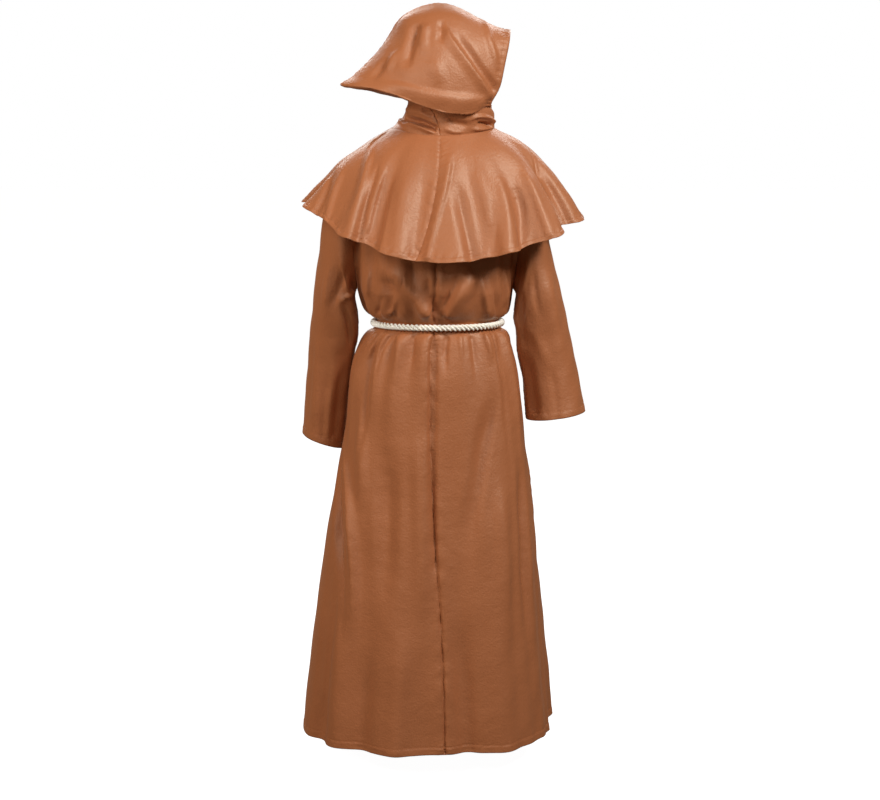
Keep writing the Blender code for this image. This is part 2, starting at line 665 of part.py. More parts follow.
def build_belt():
    """The rope ring, its front knot, the two hanging ends and their end knots."""
    front = body_ring(90.0, WAIST).y + BELT_GAP + ROPE * 0.5
    reach = ROPE * 0.5 + BELT_GAP
    start = math.degrees(math.asin((KNOT[0] * 0.5 + TAIL_GAP) / front))
    route = []
    for angle in steps(90.0 + start, 450.0 - start, BELT_POINTS):
        across, deep = math.cos(math.radians(angle)), math.sin(math.radians(angle))
        point = body_ring(angle % 360.0, WAIST)
        route.append(point + Vector((across, deep, 0.0)) * reach)
    half = KNOT[0] * 0.5 + TAIL_GAP
    route[0] = Vector((-half, front, WAIST))
    route[-1] = Vector((half, front, WAIST))
    route[1].y = route[-2].y = front
    build_rope("belt_ring", route)
    knot_y = body_ring(90.0, WAIST).y + KNOT_FRONT + KNOT[1] * 0.5
    build_block("belt_knot", (0.0, knot_y, WAIST), KNOT, KNOT_ROUND)
    for side, points in TAIL_ROUTES.items():
        build_rope("belt_end_" + side, smooth_route(points, TAIL_STEP))
        x, y, z = points[-1]
        low = z - TAIL_GAP - END_KNOT[2] * 0.5
        build_block("end_knot_" + side, (x, y, low), END_KNOT, END_KNOT_ROUND)


def clear_scene():
    """Removes every object that the file opened with."""
    for piece in list(bpy.data.objects):
        bpy.data.objects.remove(piece, do_unlink=True)


def main():
    clear_scene()
    collection = bpy.data.collections.new(OBJECT_NAME)
    bpy.context.scene.collection.children.link(collection)
    build_robe()
    build_sleeves()
    build_cape()
    build_hood()
    build_belt()


main()
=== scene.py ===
"""Looks of a monk costume: satin robe, hooded cape and rope belt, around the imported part.

Metres, +Z up. The centre back faces -Y, the centre front +Y and the garment's right side +X.
Angles go round the body from +X (0) by the front (90) and the left (180) to the back (270).
"""
from __future__ import annotations

import logging
import math
from dataclasses import dataclass, field
from enum import Enum
from typing import Any, Iterable, NamedTuple, Sequence

import bpy
import numpy as np
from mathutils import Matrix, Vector

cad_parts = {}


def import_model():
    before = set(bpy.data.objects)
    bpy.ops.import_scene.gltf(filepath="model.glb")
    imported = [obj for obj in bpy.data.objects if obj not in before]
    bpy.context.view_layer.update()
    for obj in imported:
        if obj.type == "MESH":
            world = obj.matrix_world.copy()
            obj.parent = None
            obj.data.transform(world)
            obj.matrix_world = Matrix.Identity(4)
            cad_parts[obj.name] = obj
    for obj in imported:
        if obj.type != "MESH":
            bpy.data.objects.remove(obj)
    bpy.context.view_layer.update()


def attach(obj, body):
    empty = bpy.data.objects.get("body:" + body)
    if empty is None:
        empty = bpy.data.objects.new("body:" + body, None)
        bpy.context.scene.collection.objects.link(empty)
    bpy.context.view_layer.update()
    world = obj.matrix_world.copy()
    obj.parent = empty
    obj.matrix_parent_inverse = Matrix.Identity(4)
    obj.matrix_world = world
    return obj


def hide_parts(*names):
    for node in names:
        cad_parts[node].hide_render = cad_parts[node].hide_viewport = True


LOG = logging.getLogger("monk_costume")
Array = np.ndarray


class Hand(Enum):
    """A side of the garment, with the sign of its X."""

    LEFT = -1.0
    RIGHT = 1.0

    @property
    def word(self) -> str:
        """The side's name, as the part's nodes spell it."""
        return self.name.lower()


class Side(Enum):
    """A side that creases are placed from: the axis across it and the way that it faces."""

    BACK = (0, (0.0, -1.0, 0.0))
    FRONT = (0, (0.0, 1.0, 0.0))
    LEFT = (1, (-1.0, 0.0, 0.0))
    RIGHT = (1, (1.0, 0.0, 0.0))

    @property
    def across(self) -> int:
        """Number of the axis that runs across this side."""
        return self.value[0]

    @property
    def facing(self) -> Array:
        """Unit vector out of this side."""
        return np.array(self.value[1])


class BodyRow(NamedTuple):
    """One level ring of the robe's body."""

    height: Any
    left: Any
    right: Any
    back: Any
    front: Any
    gather: Any
    seam_turn: Any


class SkirtFold(NamedTuple):
    """One long fold of the skirt: its angle, reach to each side, depth and upper end."""

    angle: float
    half_width: float
    depth: float
    top: float


class CapeRow(NamedTuple):
    """One ring of the cape, at a share of its length below the neck seam."""

    share: Any
    left: Any
    left_z: Any
    right: Any
    right_z: Any
    back: Any
    back_z: Any
    front: Any
    front_z: Any


class CapeFold(NamedTuple):
    """One fold of the cape: its angle, reach to each side and depth at the hem."""

    angle: float
    half_width: float
    depth: float


class SleeveRow(NamedTuple):
    """One section of a sleeve, by its outer and inner edges seen from the back."""

    share: Any
    outer: Any
    outer_z: Any
    inner: Any
    inner_z: Any
    middle_y: Any
    half_depth: Any


class SleeveFold(NamedTuple):
    """One bend fold of a sleeve, round its tube and along it."""

    angle: float
    half_width: float
    depth: float
    share: float
    spread: float


class HoodRow(NamedTuple):
    """One ring of the hood, from the neck seam up over the bag to the top seam."""

    x: Any
    back: Any
    front: Any
    near: Any
    far: Any
    turn: Any
    point: Any
    open_to: Any
    back_z: Any
    near_z: Any
    far_z: Any
    front_z: Any
    droop: Any


class Crease(NamedTuple):
    """A soft trough (depth under 0) or ridge along a line on the cloth.

    The path gives places across its side and up. Lean narrows one flank and widens the other,
    edge sharpens its crest, and start and end are the shares of its length that fade out.
    """

    path: tuple[tuple[float, float], ...]
    width: float
    depth: float
    lean: float = 0.0
    edge: float = 0.0
    start: float = 0.35
    end: float = 0.35


def curve_through(keys: Sequence[float], values: Sequence[float], at: Any) -> Array:
    """Values on the smooth curve through a table's rows.

    Args:
        keys: rising or falling places of the rows.
        values: the rows' values.
        at: place or places to read.

    Returns:
        One value for each place.
    """
    keys, values = np.asarray(keys, float), np.asarray(values, float)
    if keys[-1] < keys[0]:
        keys, values = keys[::-1], values[::-1]
    last = len(keys) - 1
    before = np.maximum(np.arange(last + 1) - 1, 0)
    after = np.minimum(np.arange(last + 1) + 1, last)
    slopes = (values[after] - values[before]) / (keys[after] - keys[before])
    at = np.asarray(at, float)
    right = np.clip(np.searchsorted(keys, at), 1, last)
    left = right - 1
    span = keys[right] - keys[left]
    share = (at - keys[left]) / span
    square = share * share
    cube = square * share
    return ((2 * cube - 3 * square + 1) * values[left] + (cube - 2 * square + share) * span * slopes[left]
            + (3 * square - 2 * cube) * values[right] + (cube - square) * span * slopes[right])


def read_rows(rows: Sequence[Any], key: str, at: Any) -> Any:
    """One row of a table of named columns, worked out at a place or an array of places."""
    keys = [getattr(row, key) for row in rows]
    return rows[0]._make(curve_through(keys, column, at) for column in zip(*rows))


def turn_between(angle: Any, centre: float) -> Any:
    """Signed difference of two angles in degrees, from -180 to 180."""
    return (angle - centre + 180.0) % 360.0 - 180.0


def bump(offset: Any, half_width: float) -> Any:
    """A soft rise from 0 at the half-width to 1 in the middle."""
    inside = np.abs(offset) < half_width
    return np.where(inside, 0.5 * (1.0 + np.cos(math.pi * np.asarray(offset) / half_width)), 0.0)


def ease(share: Any) -> Any:
    """A share from 0 to 1 that starts and ends softly."""
    share = np.clip(share, 0.0, 1.0)
    return share * share * (3.0 - 2.0 * share)


def places(*parts: Any) -> Array:
    """Points from arrays of x, y and z that broadcast together."""
    return np.stack(np.broadcast_arrays(*parts), axis=-1)


def unit(vectors: Array) -> Array:
    """Vectors of length 1, or 0 where a vector has no length."""
    length = np.linalg.norm(vectors, axis=-1, keepdims=True)
    return vectors / np.where(length > 1e-12, length, 1.0)


def joined(*runs: Array) -> Array:
    """Rising values of several runs together, each value once."""
    return np.unique(np.round(np.concatenate(runs), 6))


def smooth_route(points: Sequence[Sequence[float]], spacing: float) -> Array:
    """Evenly spaced points on the smooth curve through a route's own points."""
    corners = np.asarray(points, float)
    lengths = np.linalg.norm(np.diff(corners, axis=0), axis=1)
    along = np.concatenate([[0.0], np.cumsum(lengths)])
    count = max(2, int(round(along[-1] / spacing)) + 1)
    at = np.linspace(0.0, along[-1], count)
    return np.stack([curve_through(along, corners[:, axis], at) for axis in range(3)], axis=-1)


class Graph:
    """The nodes of one material, made one call at a time."""

    def __init__(self, tree: bpy.types.NodeTree) -> None:
        """Empties the tree."""
        self.tree = tree
        tree.nodes.clear()

    def node(self, kind: str, settings: dict[str, Any] | None = None,
             inputs: dict[Any, Any] | None = None) -> bpy.types.Node:
        """Adds a node.

        Args:
            kind: the node's type.
            settings: its properties, and a colour ramp's stops as (place, colour) pairs.
            inputs: values or Signals for its sockets, by name or number.

        Returns:
            The new node.
        """
        made = self.tree.nodes.new(kind)
        for name, value in (settings or {}).items():
            if name == "stops":
                ramp = made.color_ramp.elements
                while len(ramp) < len(value):
                    ramp.new(1.0)
                for stop, (place, colour) in zip(ramp, value):
                    stop.position = place
                    stop.color = (*colour, 1.0)
            else:
                setattr(made, name, value)
        for name, value in (inputs or {}).items():
            if isinstance(value, Signal):
                self.tree.links.new(value.socket, made.inputs[name])
            else:
                made.inputs[name].default_value = value
        return made

    def signal(self, kind: str, settings: dict[str, Any] | None = None,
               inputs: dict[Any, Any] | None = None, output: Any = 0) -> "Signal":
        """Adds a node and returns one of its outputs."""
        return Signal(self, self.node(kind, settings, inputs).outputs[output])

    def blend(self, factor: "Signal", first: Sequence[float], second: Any) -> "Signal":
        """Mixes two colours by a varying factor."""
        settings = {"data_type": "RGBA"}
        first = first if isinstance(first, Signal) else (*first, 1.0)
        second = second if isinstance(second, Signal) else (*second, 1.0)
        return self.signal("ShaderNodeMix", settings, {0: factor, 6: first, 7: second}, 2)


class Signal:
    """A node's output, with arithmetic that adds Math nodes."""

    def __init__(self, graph: Graph, socket: bpy.types.NodeSocket) -> None:
        """Holds the socket and the graph that it belongs to."""
        self.graph = graph
        self.socket = socket

    def _maths(self, operation: str, first: Any, second: Any) -> "Signal":
        """Adds one Math node."""
        return self.graph.signal("ShaderNodeMath", {"operation": operation}, {0: first, 1: second})

    def __add__(self, other: Any) -> "Signal":
        """Sum."""
        return self._maths("ADD", self, other)

    __radd__ = __add__

    def __sub__(self, other: Any) -> "Signal":
        """Difference."""
        return self._maths("SUBTRACT", self, other)

    def __rsub__(self, other: Any) -> "Signal":
        """Difference from a number."""
        return self._maths("SUBTRACT", other, self)

    def __mul__(self, other: Any) -> "Signal":
        """Product."""
        return self._maths("MULTIPLY", self, other)

    __rmul__ = __mul__


def blank_material(name: str) -> tuple[bpy.types.Material, Graph]:
    """Makes a material with an empty node graph."""
    material = bpy.data.materials.new(name)
    material.use_nodes = True
    return material, Graph(material.node_tree)


@dataclass(frozen=True)
class SatinFinish:
    """Brown polyester satin: a soft sheen, fine crossing threads and faint crushing. Its colour is mixed
    between a lighter and a darker brown, partly by the threads' and grain's own tone and partly in broad
    blotches of painted sheen and shade.
    """

    name: str = "brown_satin"
    # The two ends of the satin's colour: the lighter end is partly painted sheen, and the darker end (deep)
    # is partly painted shade. The rest of their spread is the threads' own tone.
    grain_and_painted_sheen_light: tuple[float, float, float] = (0.425, 0.146, 0.055)
    deep: tuple[float, float, float] = (0.322, 0.100, 0.033)
    roughness: float = 0.50
    shine: float = 0.75
    shine_tint: tuple[float, float, float] = (1.0, 0.90, 0.72)
    sheen: float = 0.14
    sheen_tint: tuple[float, float, float] = (1.0, 0.72, 0.50)

    def make(self) -> bpy.types.Material:
        """Builds the material."""
        material, graph = blank_material(self.name)
        place = graph.signal("ShaderNodeTexCoord", output="Object")
        cloud = self.noise(graph, place, 5.0)
        slub = self.threads(graph, place, (420.0, 420.0, 60.0))
        weft = self.threads(graph, place, (70.0, 70.0, 520.0))
        weave = slub * 0.5 + weft * 0.5
        grain = self.noise(graph, place, 230.0)
        crush = self.noise(graph, place, 34.0)
        # Painted sheen and shade: the broad cloud noise lightens and darkens the colour in blotches, as
        # satin's sheen would. The grain and weave parts are the cloth's own thread tone.
        tone = cloud * 0.5 + grain * 0.25 + weave * 0.25
        colour = graph.blend(tone, self.deep, self.grain_and_painted_sheen_light)
        rough = self.roughness + (weave - 0.5) * 0.14 + (cloud - 0.5) * 0.10
        normal = self.relief(graph, weave, 0.0006, None)
        normal = self.relief(graph, grain, 0.0024, normal)
        normal = self.relief(graph, crush, 0.0044, normal)
        shader = graph.signal("ShaderNodeBsdfPrincipled", {}, {
            "Base Color": colour, "Roughness": rough, "Normal": normal, "Metallic": 0.0,
            "Specular IOR Level": self.shine, "Specular Tint": (*self.shine_tint, 1.0),
            "Sheen Weight": self.sheen, "Sheen Roughness": 0.35, "Sheen Tint": (*self.sheen_tint, 1.0)})
        graph.node("ShaderNodeOutputMaterial", {}, {"Surface": shader})
        return material

    @staticmethod
    def noise(graph: Graph, place: Signal, scale: float) -> Signal:
        """Soft noise with a number of spots to the metre."""
        return graph.signal("ShaderNodeTexNoise", {}, {"Vector": place, "Scale": scale, "Detail": 3.0,
                                                      "Roughness": 0.55})

    @staticmethod
    def relief(graph: Graph, height: Signal, distance: float, under: Signal | None) -> Signal:
        """Fine relief of a height, on top of the relief under it."""
        inputs = {"Strength": 0.35, "Distance": distance, "Height": height}
        if under is not None:
            inputs["Normal"] = under
        return graph.signal("ShaderNodeBump", {}, inputs)

    @staticmethod
    def threads(graph: Graph, place: Signal, scale: tuple[float, float, float]) -> Signal:
        """Noise that is drawn out along the threads of one direction."""
        stretched = graph.signal("ShaderNodeMapping", {}, {"Vector": place, "Scale": scale})
        return graph.signal("ShaderNodeTexNoise", {}, {"Vector": stretched, "Scale": 1.0, "Detail": 2.0})


@dataclass(frozen=True)
class CordFinish:
    """Cream cotton-like cord: matt fibres, a little greyer in random patches."""

    name: str = "cream_cord"
    light: tuple[float, float, float] = (0.99, 0.96, 0.87)
    shade: tuple[float, float, float] = (0.93, 0.87, 0.72)

    def make(self) -> bpy.types.Material:
        """Builds the material."""
        material, graph = blank_material(self.name)
        place = graph.signal("ShaderNodeTexCoord", output="Object")
        fibre = graph.signal("ShaderNodeTexNoise", {}, {"Vector": place, "Scale": 900.0, "Detail": 3.0})
        cloud = graph.signal("ShaderNodeTexNoise", {}, {"Vector": place, "Scale": 60.0, "Detail": 2.0})
        tone = fibre * 0.4 + cloud * 0.6
        colour = graph.blend(tone, self.shade, self.light)
        rough = 0.80 + (fibre - 0.5) * 0.2
        normal = graph.signal("ShaderNodeBump", {}, {"Strength": 0.5, "Distance": 0.0008, "Height": fibre})
        shader = graph.signal("ShaderNodeBsdfPrincipled", {}, {
            "Base Color": colour, "Roughness": rough, "Normal": normal, "Metallic": 0.0,
            "Sheen Weight": 0.3, "Sheen Roughness": 0.6})
        graph.node("ShaderNodeOutputMaterial", {}, {"Surface": shader})
        return material


@dataclass(frozen=True)
class FloorFinish:
    """A white studio floor that glows a little, so that only soft shadows show on it."""

    name: str = "studio_floor"
    colour: tuple[float, float, float] = (0.30, 0.30, 0.30)
    glow: float = 0.98

    def make(self) -> bpy.types.Material:
        """Builds the material."""
        material, graph = blank_material(self.name)
        shader = graph.signal("ShaderNodeBsdfPrincipled", {}, {
            "Base Color": (*self.colour, 1.0), "Roughness": 1.0, "Specular IOR Level": 0.0,
            "Emission Color": (1.0, 1.0, 1.0, 1.0), "Emission Strength": self.glow})
        graph.node("ShaderNodeOutputMaterial", {}, {"Surface": shader})
        return material


@dataclass
class Panel:
    """The grid of points of one cut piece, and what is measured at each of them."""

    name: str
    points: Array
    closed: bool = False
    flipped: bool = False
    measures: dict[str, Array] = field(default_factory=dict)
    numbers: Array | None = None

    def quads(self) -> Array:
        """Corner numbers of each face, facing outwards."""
        numbers = self.numbers
        beside = np.roll(numbers, -1, axis=1)
        corners = np.stack([numbers[:-1], beside[:-1], beside[1:], numbers[1:]], axis=-1)
        if not self.closed:
            corners = corners[:, :-1]
        corners = corners.reshape(-1, 4)
        return corners[:, ::-1] if self.flipped else corners


class Cloth:
    """Panels that share the points along their seams, so that they fold and crease together."""

    FAR = 1.0
    REACH_THROUGH = 0.03
    STITCH_INSET = 0.0015

    def __init__(self, panels: Sequence[Panel]) -> None:
        """Welds the panels' points along their seams."""
        self.panels = {panel.name: panel for panel in panels}
        stacked = np.concatenate([panel.points.reshape(-1, 3) for panel in panels])
        _, first, number = np.unique(np.round(stacked, 6), axis=0, return_index=True, return_inverse=True)
        number = number.reshape(-1)
        self.points = stacked[first].copy()
        names = {name for panel in panels for name in panel.measures}
        self.measures = {name: self.gather(panels, name)[first] for name in sorted(names)}
        start = 0
        for panel in panels:
            rows, columns = panel.points.shape[:2]
            panel.numbers = number[start:start + rows * columns].reshape(rows, columns)
            start += rows * columns
        self.quads = np.concatenate([panel.quads() for panel in panels])
        self.normals = self.facing()
        self.lift = np.zeros(len(self.points))

    def gather(self, panels: Sequence[Panel], name: str) -> Array:
        """One measure of every stacked point."""
        values = []
        for panel in panels:
            shape = panel.points.shape[:2]
            values.append(np.broadcast_to(panel.measures.get(name, self.FAR), shape).reshape(-1))
        return np.concatenate(values)

    def facing(self) -> Array:
        """Outward direction at every point."""
        a, b, c, d = (self.points[self.quads[:, corner]] for corner in range(4))
        cross = np.cross(c - a, d - b)
        total = np.zeros_like(self.points)
        for corner in range(4):
            np.add.at(total, self.quads[:, corner], cross)
        return unit(total)

    def draw(self, side: Side, creases: Iterable[Crease], gain: float = 1.0, flip: bool = False) -> None:
        """Adds creases.

        Args:
            side: side of the cloth that the creases' places are read on.
            creases: the creases.
            gain: share of their depth.
            flip: whether their places run the other way across.
        """
        seen = np.nonzero(self.normals @ side.facing > 0.05)[0]
        flat = self.points[seen][:, [side.across, 2]] * (-1.0 if flip else 1.0, 1.0)
        for crease in creases:
            corners = []
            for place in crease.path:
                away = np.sum((flat - place) ** 2, axis=1)
                corners.append(self.points[seen[np.argmin(away)]])
            line = smooth_route(corners, max(crease.width * 0.3, 0.003))
            self.lift += gain * self.relief(crease, line)

    def relief(self, crease: Crease, line: Array) -> Array:
        """How far a crease lifts every point."""
        reach = crease.width * (1.0 + abs(crease.lean))
        low, high = line.min(axis=0) - reach, line.max(axis=0) + reach
        near = np.nonzero(np.all((self.points > low) & (self.points < high), axis=1))[0]
        lift = np.zeros(len(self.points))
        if not len(near):
            return lift
        normals = self.normals[near]
        away = self.points[near][:, None, :] - line[None, :, :]
        off = np.einsum("nkc,nc->nk", away, normals)
        along = np.sum(away * away, axis=2) - off * off
        along = np.where(np.abs(off) > self.REACH_THROUGH, self.FAR, along)
        best = np.argmin(along, axis=1)
        distance = np.sqrt(np.maximum(along[np.arange(len(near)), best], 0.0))
        ahead = np.gradient(line, axis=0)
        flank = np.cross(ahead[best], normals)
        hand = np.sign(np.sum(flank * away[np.arange(len(near)), best], axis=1))
        share = distance / (crease.width * (1.0 + hand * crease.lean))
        soft = bump(share, 1.0)
        sharp = np.maximum(1.0 - share, 0.0) ** 2
        at = best / max(len(line) - 1, 1)
        fade = ease(at / crease.start) if crease.start > 0 else 1.0
        fade = fade * (ease((1.0 - at) / crease.end) if crease.end > 0 else 1.0)
        lift[near] = crease.depth * fade * (soft * (1.0 - crease.edge) + sharp * crease.edge)
        return lift

    def drift(self, height: float, length: float) -> None:
        """Adds slow, uneven waves, so that no stretch of cloth is perfectly smooth."""
        x, y, z = (self.points * (2.0 * math.pi / length)).T
        waves = (np.sin(1.0 * x + 0.6 * z + 0.4) * np.cos(0.7 * y - 0.5 * z)
                 + 0.6 * np.sin(1.9 * x - 1.3 * y + 0.8 * z + 1.7)
                 + 0.4 * np.sin(2.7 * y + 1.1 * x - 2.1 * z + 0.9))
        self.lift += height * waves

    def seam(self, name: str, along: str, groove: float, pucker: float, spacing: float,
             reach: float = 0.012, wide: float = 0.0022) -> None:
        """Sinks a sewn seam and puckers the cloth on both sides of it.

        Args:
            name: measure of the distance from the seam.
            along: measure of the run along it.
            groove: depth that the seam sinks.
            pucker: height of the puckers.
            spacing: run from one pucker to the next.
            reach: distance that the puckers fade over.
            wide: distance that the groove fades over.
        """
        distance = self.measures[name]
        run = self.measures[along] + 0.8 * distance
        phase = run / spacing + 0.35 * np.sin(2.3 * run / spacing) + 0.2 * np.sin(5.1 * run / spacing + 1.0)
        waves = np.sin(2.0 * math.pi * phase)
        self.lift -= groove * np.exp(-(distance / wide) ** 2)
        self.lift += pucker * waves * np.exp(-(distance / reach) ** 2)

    def hem(self, name: str, along: str, depth: float, thick: float, pucker: float, spacing: float) -> None:
        """Raises a turned-up hem, with its stitch line and the puckers above it."""
        distance, run = self.measures[name], self.measures[along]
        phase = run / spacing + 0.4 * np.sin(1.7 * run / spacing) + 0.25 * np.sin(4.3 * run / spacing + 2.0)
        waves = np.sin(2.0 * math.pi * phase)
        fold = ease((depth - distance) / 0.003)
        self.lift += thick * fold
        self.lift -= 0.8 * thick * np.exp(-((distance - depth + 0.0015) / 0.0016) ** 2)
        self.lift += pucker * waves * np.exp(-((distance - depth) / (0.7 * depth)) ** 2)

    def fold(self, still: Array | float = 1.0) -> None:
        """Moves every point by its lift, less where the cloth is held still."""
        self.points = self.points + self.normals * (self.lift * still)[:, None]
        self.normals = self.facing()

    def stitches(self, name: str, depth: float, material: bpy.types.Material) -> bpy.types.Object:
        """Sews one panel's hem.

        Args:
            name: the panel.
            depth: distance of the stitches from the edge.
            material: finish of the thread.

        Returns:
            The piece with the stitches.
        """
        panel = self.panels[name]
        distance = self.measures["hem"][panel.numbers]
        if np.ptp(distance, axis=1).mean() < np.ptp(distance, axis=0).mean():
            line = panel.numbers[int(np.argmin(np.abs(distance.mean(axis=1) - depth)))]
        else:
            line = panel.numbers[:, int(np.argmin(np.abs(distance.mean(axis=0) - depth)))]
        if panel.closed:
            line = np.append(line, line[0])
        return Thread().sew(name + "_stitches", self.points[line], self.normals[line], material)

    def finish(self, thickness: float, hem_depth: float, material: bpy.types.Material) -> dict[str, Sewn]:
        """Makes every panel's shell and stitches."""
        made = {}
        for name in self.panels:
            sewn_at = hem_depth - self.STITCH_INSET
            made[name] = Sewn(self.shell(name, thickness, material), self.stitches(name, sewn_at, material))
        return made

    def shell(self, name: str, thickness: float, material: bpy.types.Material) -> bpy.types.Object:
        """Makes one panel's thin shell, which stands for the part's node of that name.

        Args:
            name: the panel and the node.
            thickness: thickness of the cloth, inwards from the panel's points.
            material: its finish.

        Returns:
            The new piece.
        """
        quads = self.panels[name].quads()
        used, corners = np.unique(quads, return_inverse=True)
        corners = corners.reshape(-1, 4)
        mesh = bpy.data.meshes.new(name + "_cloth")
        mesh.from_pydata(self.points[used].tolist(), [], corners.tolist())
        mesh.shade_smooth()
        mesh.materials.append(material)
        piece = bpy.data.objects.new(name + "_cloth", mesh)
        solid = piece.modifiers.new("thickness", "SOLIDIFY")
        solid.thickness = thickness
        solid.offset = -1.0
        return seat(piece, "satin", name)


@dataclass(frozen=True)
class Thread:
    """Sewing thread, in short stitches that dip into the cloth at both ends."""

    length: float = 0.0032
    pitch: float = 0.0048
    thickness: float = 0.0008

    def sew(self, name: str, points: Array, normals: Array,
            material: bpy.types.Material) -> bpy.types.Object:
        """Sews stitches along a line on the cloth.

        Args:
            name: name of the new piece.
            points: the line's points.
            normals: outward directions at them.
            material: finish of the thread.

        Returns:
            The new piece.
        """
        run = np.concatenate([[0.0], np.cumsum(np.linalg.norm(np.diff(points, axis=0), axis=1))])
        starts = np.arange(0.5 * self.pitch, run[-1] - self.length, self.pitch)
        stations = starts[:, None] + self.length * np.array((0.0, 0.5, 1.0))
        middle = np.stack([np.interp(stations, run, column) for column in points.T], axis=-1)
        out = unit(np.stack([np.interp(stations, run, column) for column in normals.T], axis=-1))
        beside = unit(np.cross(out, (middle[:, 2] - middle[:, 0])[:, None, :]))
        middle = middle + out * (self.thickness * np.array((-0.3, 0.45, -0.3)))[None, :, None]
        half = 0.5 * self.thickness
        rings = np.stack([middle + beside * half, middle + out * half,
                          middle - beside * half, middle - out * half], axis=2)
        numbers = np.arange(rings[..., 0].size).reshape(rings.shape[:3])
        turned = np.roll(numbers, -1, axis=2)
        quads = np.stack([numbers[:, :-1], turned[:, :-1], turned[:, 1:], numbers[:, 1:]], axis=-1)
        mesh = bpy.data.meshes.new(name)
        mesh.from_pydata(rings.reshape(-1, 3).tolist(), [], quads.reshape(-1, 4).tolist())
        mesh.shade_smooth()
        mesh.materials.append(material)
        return seat(bpy.data.objects.new(name, mesh), "satin")


@dataclass(frozen=True)
class Sewn:
    """A finished panel and the pieces sewn on it."""

    cloth: bpy.types.Object
    stitches: bpy.types.Object


def seat(piece: bpy.types.Object, slot: str, node: str | None = None) -> bpy.types.Object:
    """Puts a finished piece into the scene, on the part's one body, and logs it.

    Args:
        piece: the piece.
        slot: not used.
        node: the part's node that it stands for, if any.

    Returns:
        The same piece.
    """
    bpy.context.scene.collection.objects.link(piece)
    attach(piece, "root")
    if node is not None:
        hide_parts(node)
    LOG.info("%s: %d faces", piece.name, len(piece.data.polygons))
    return piece


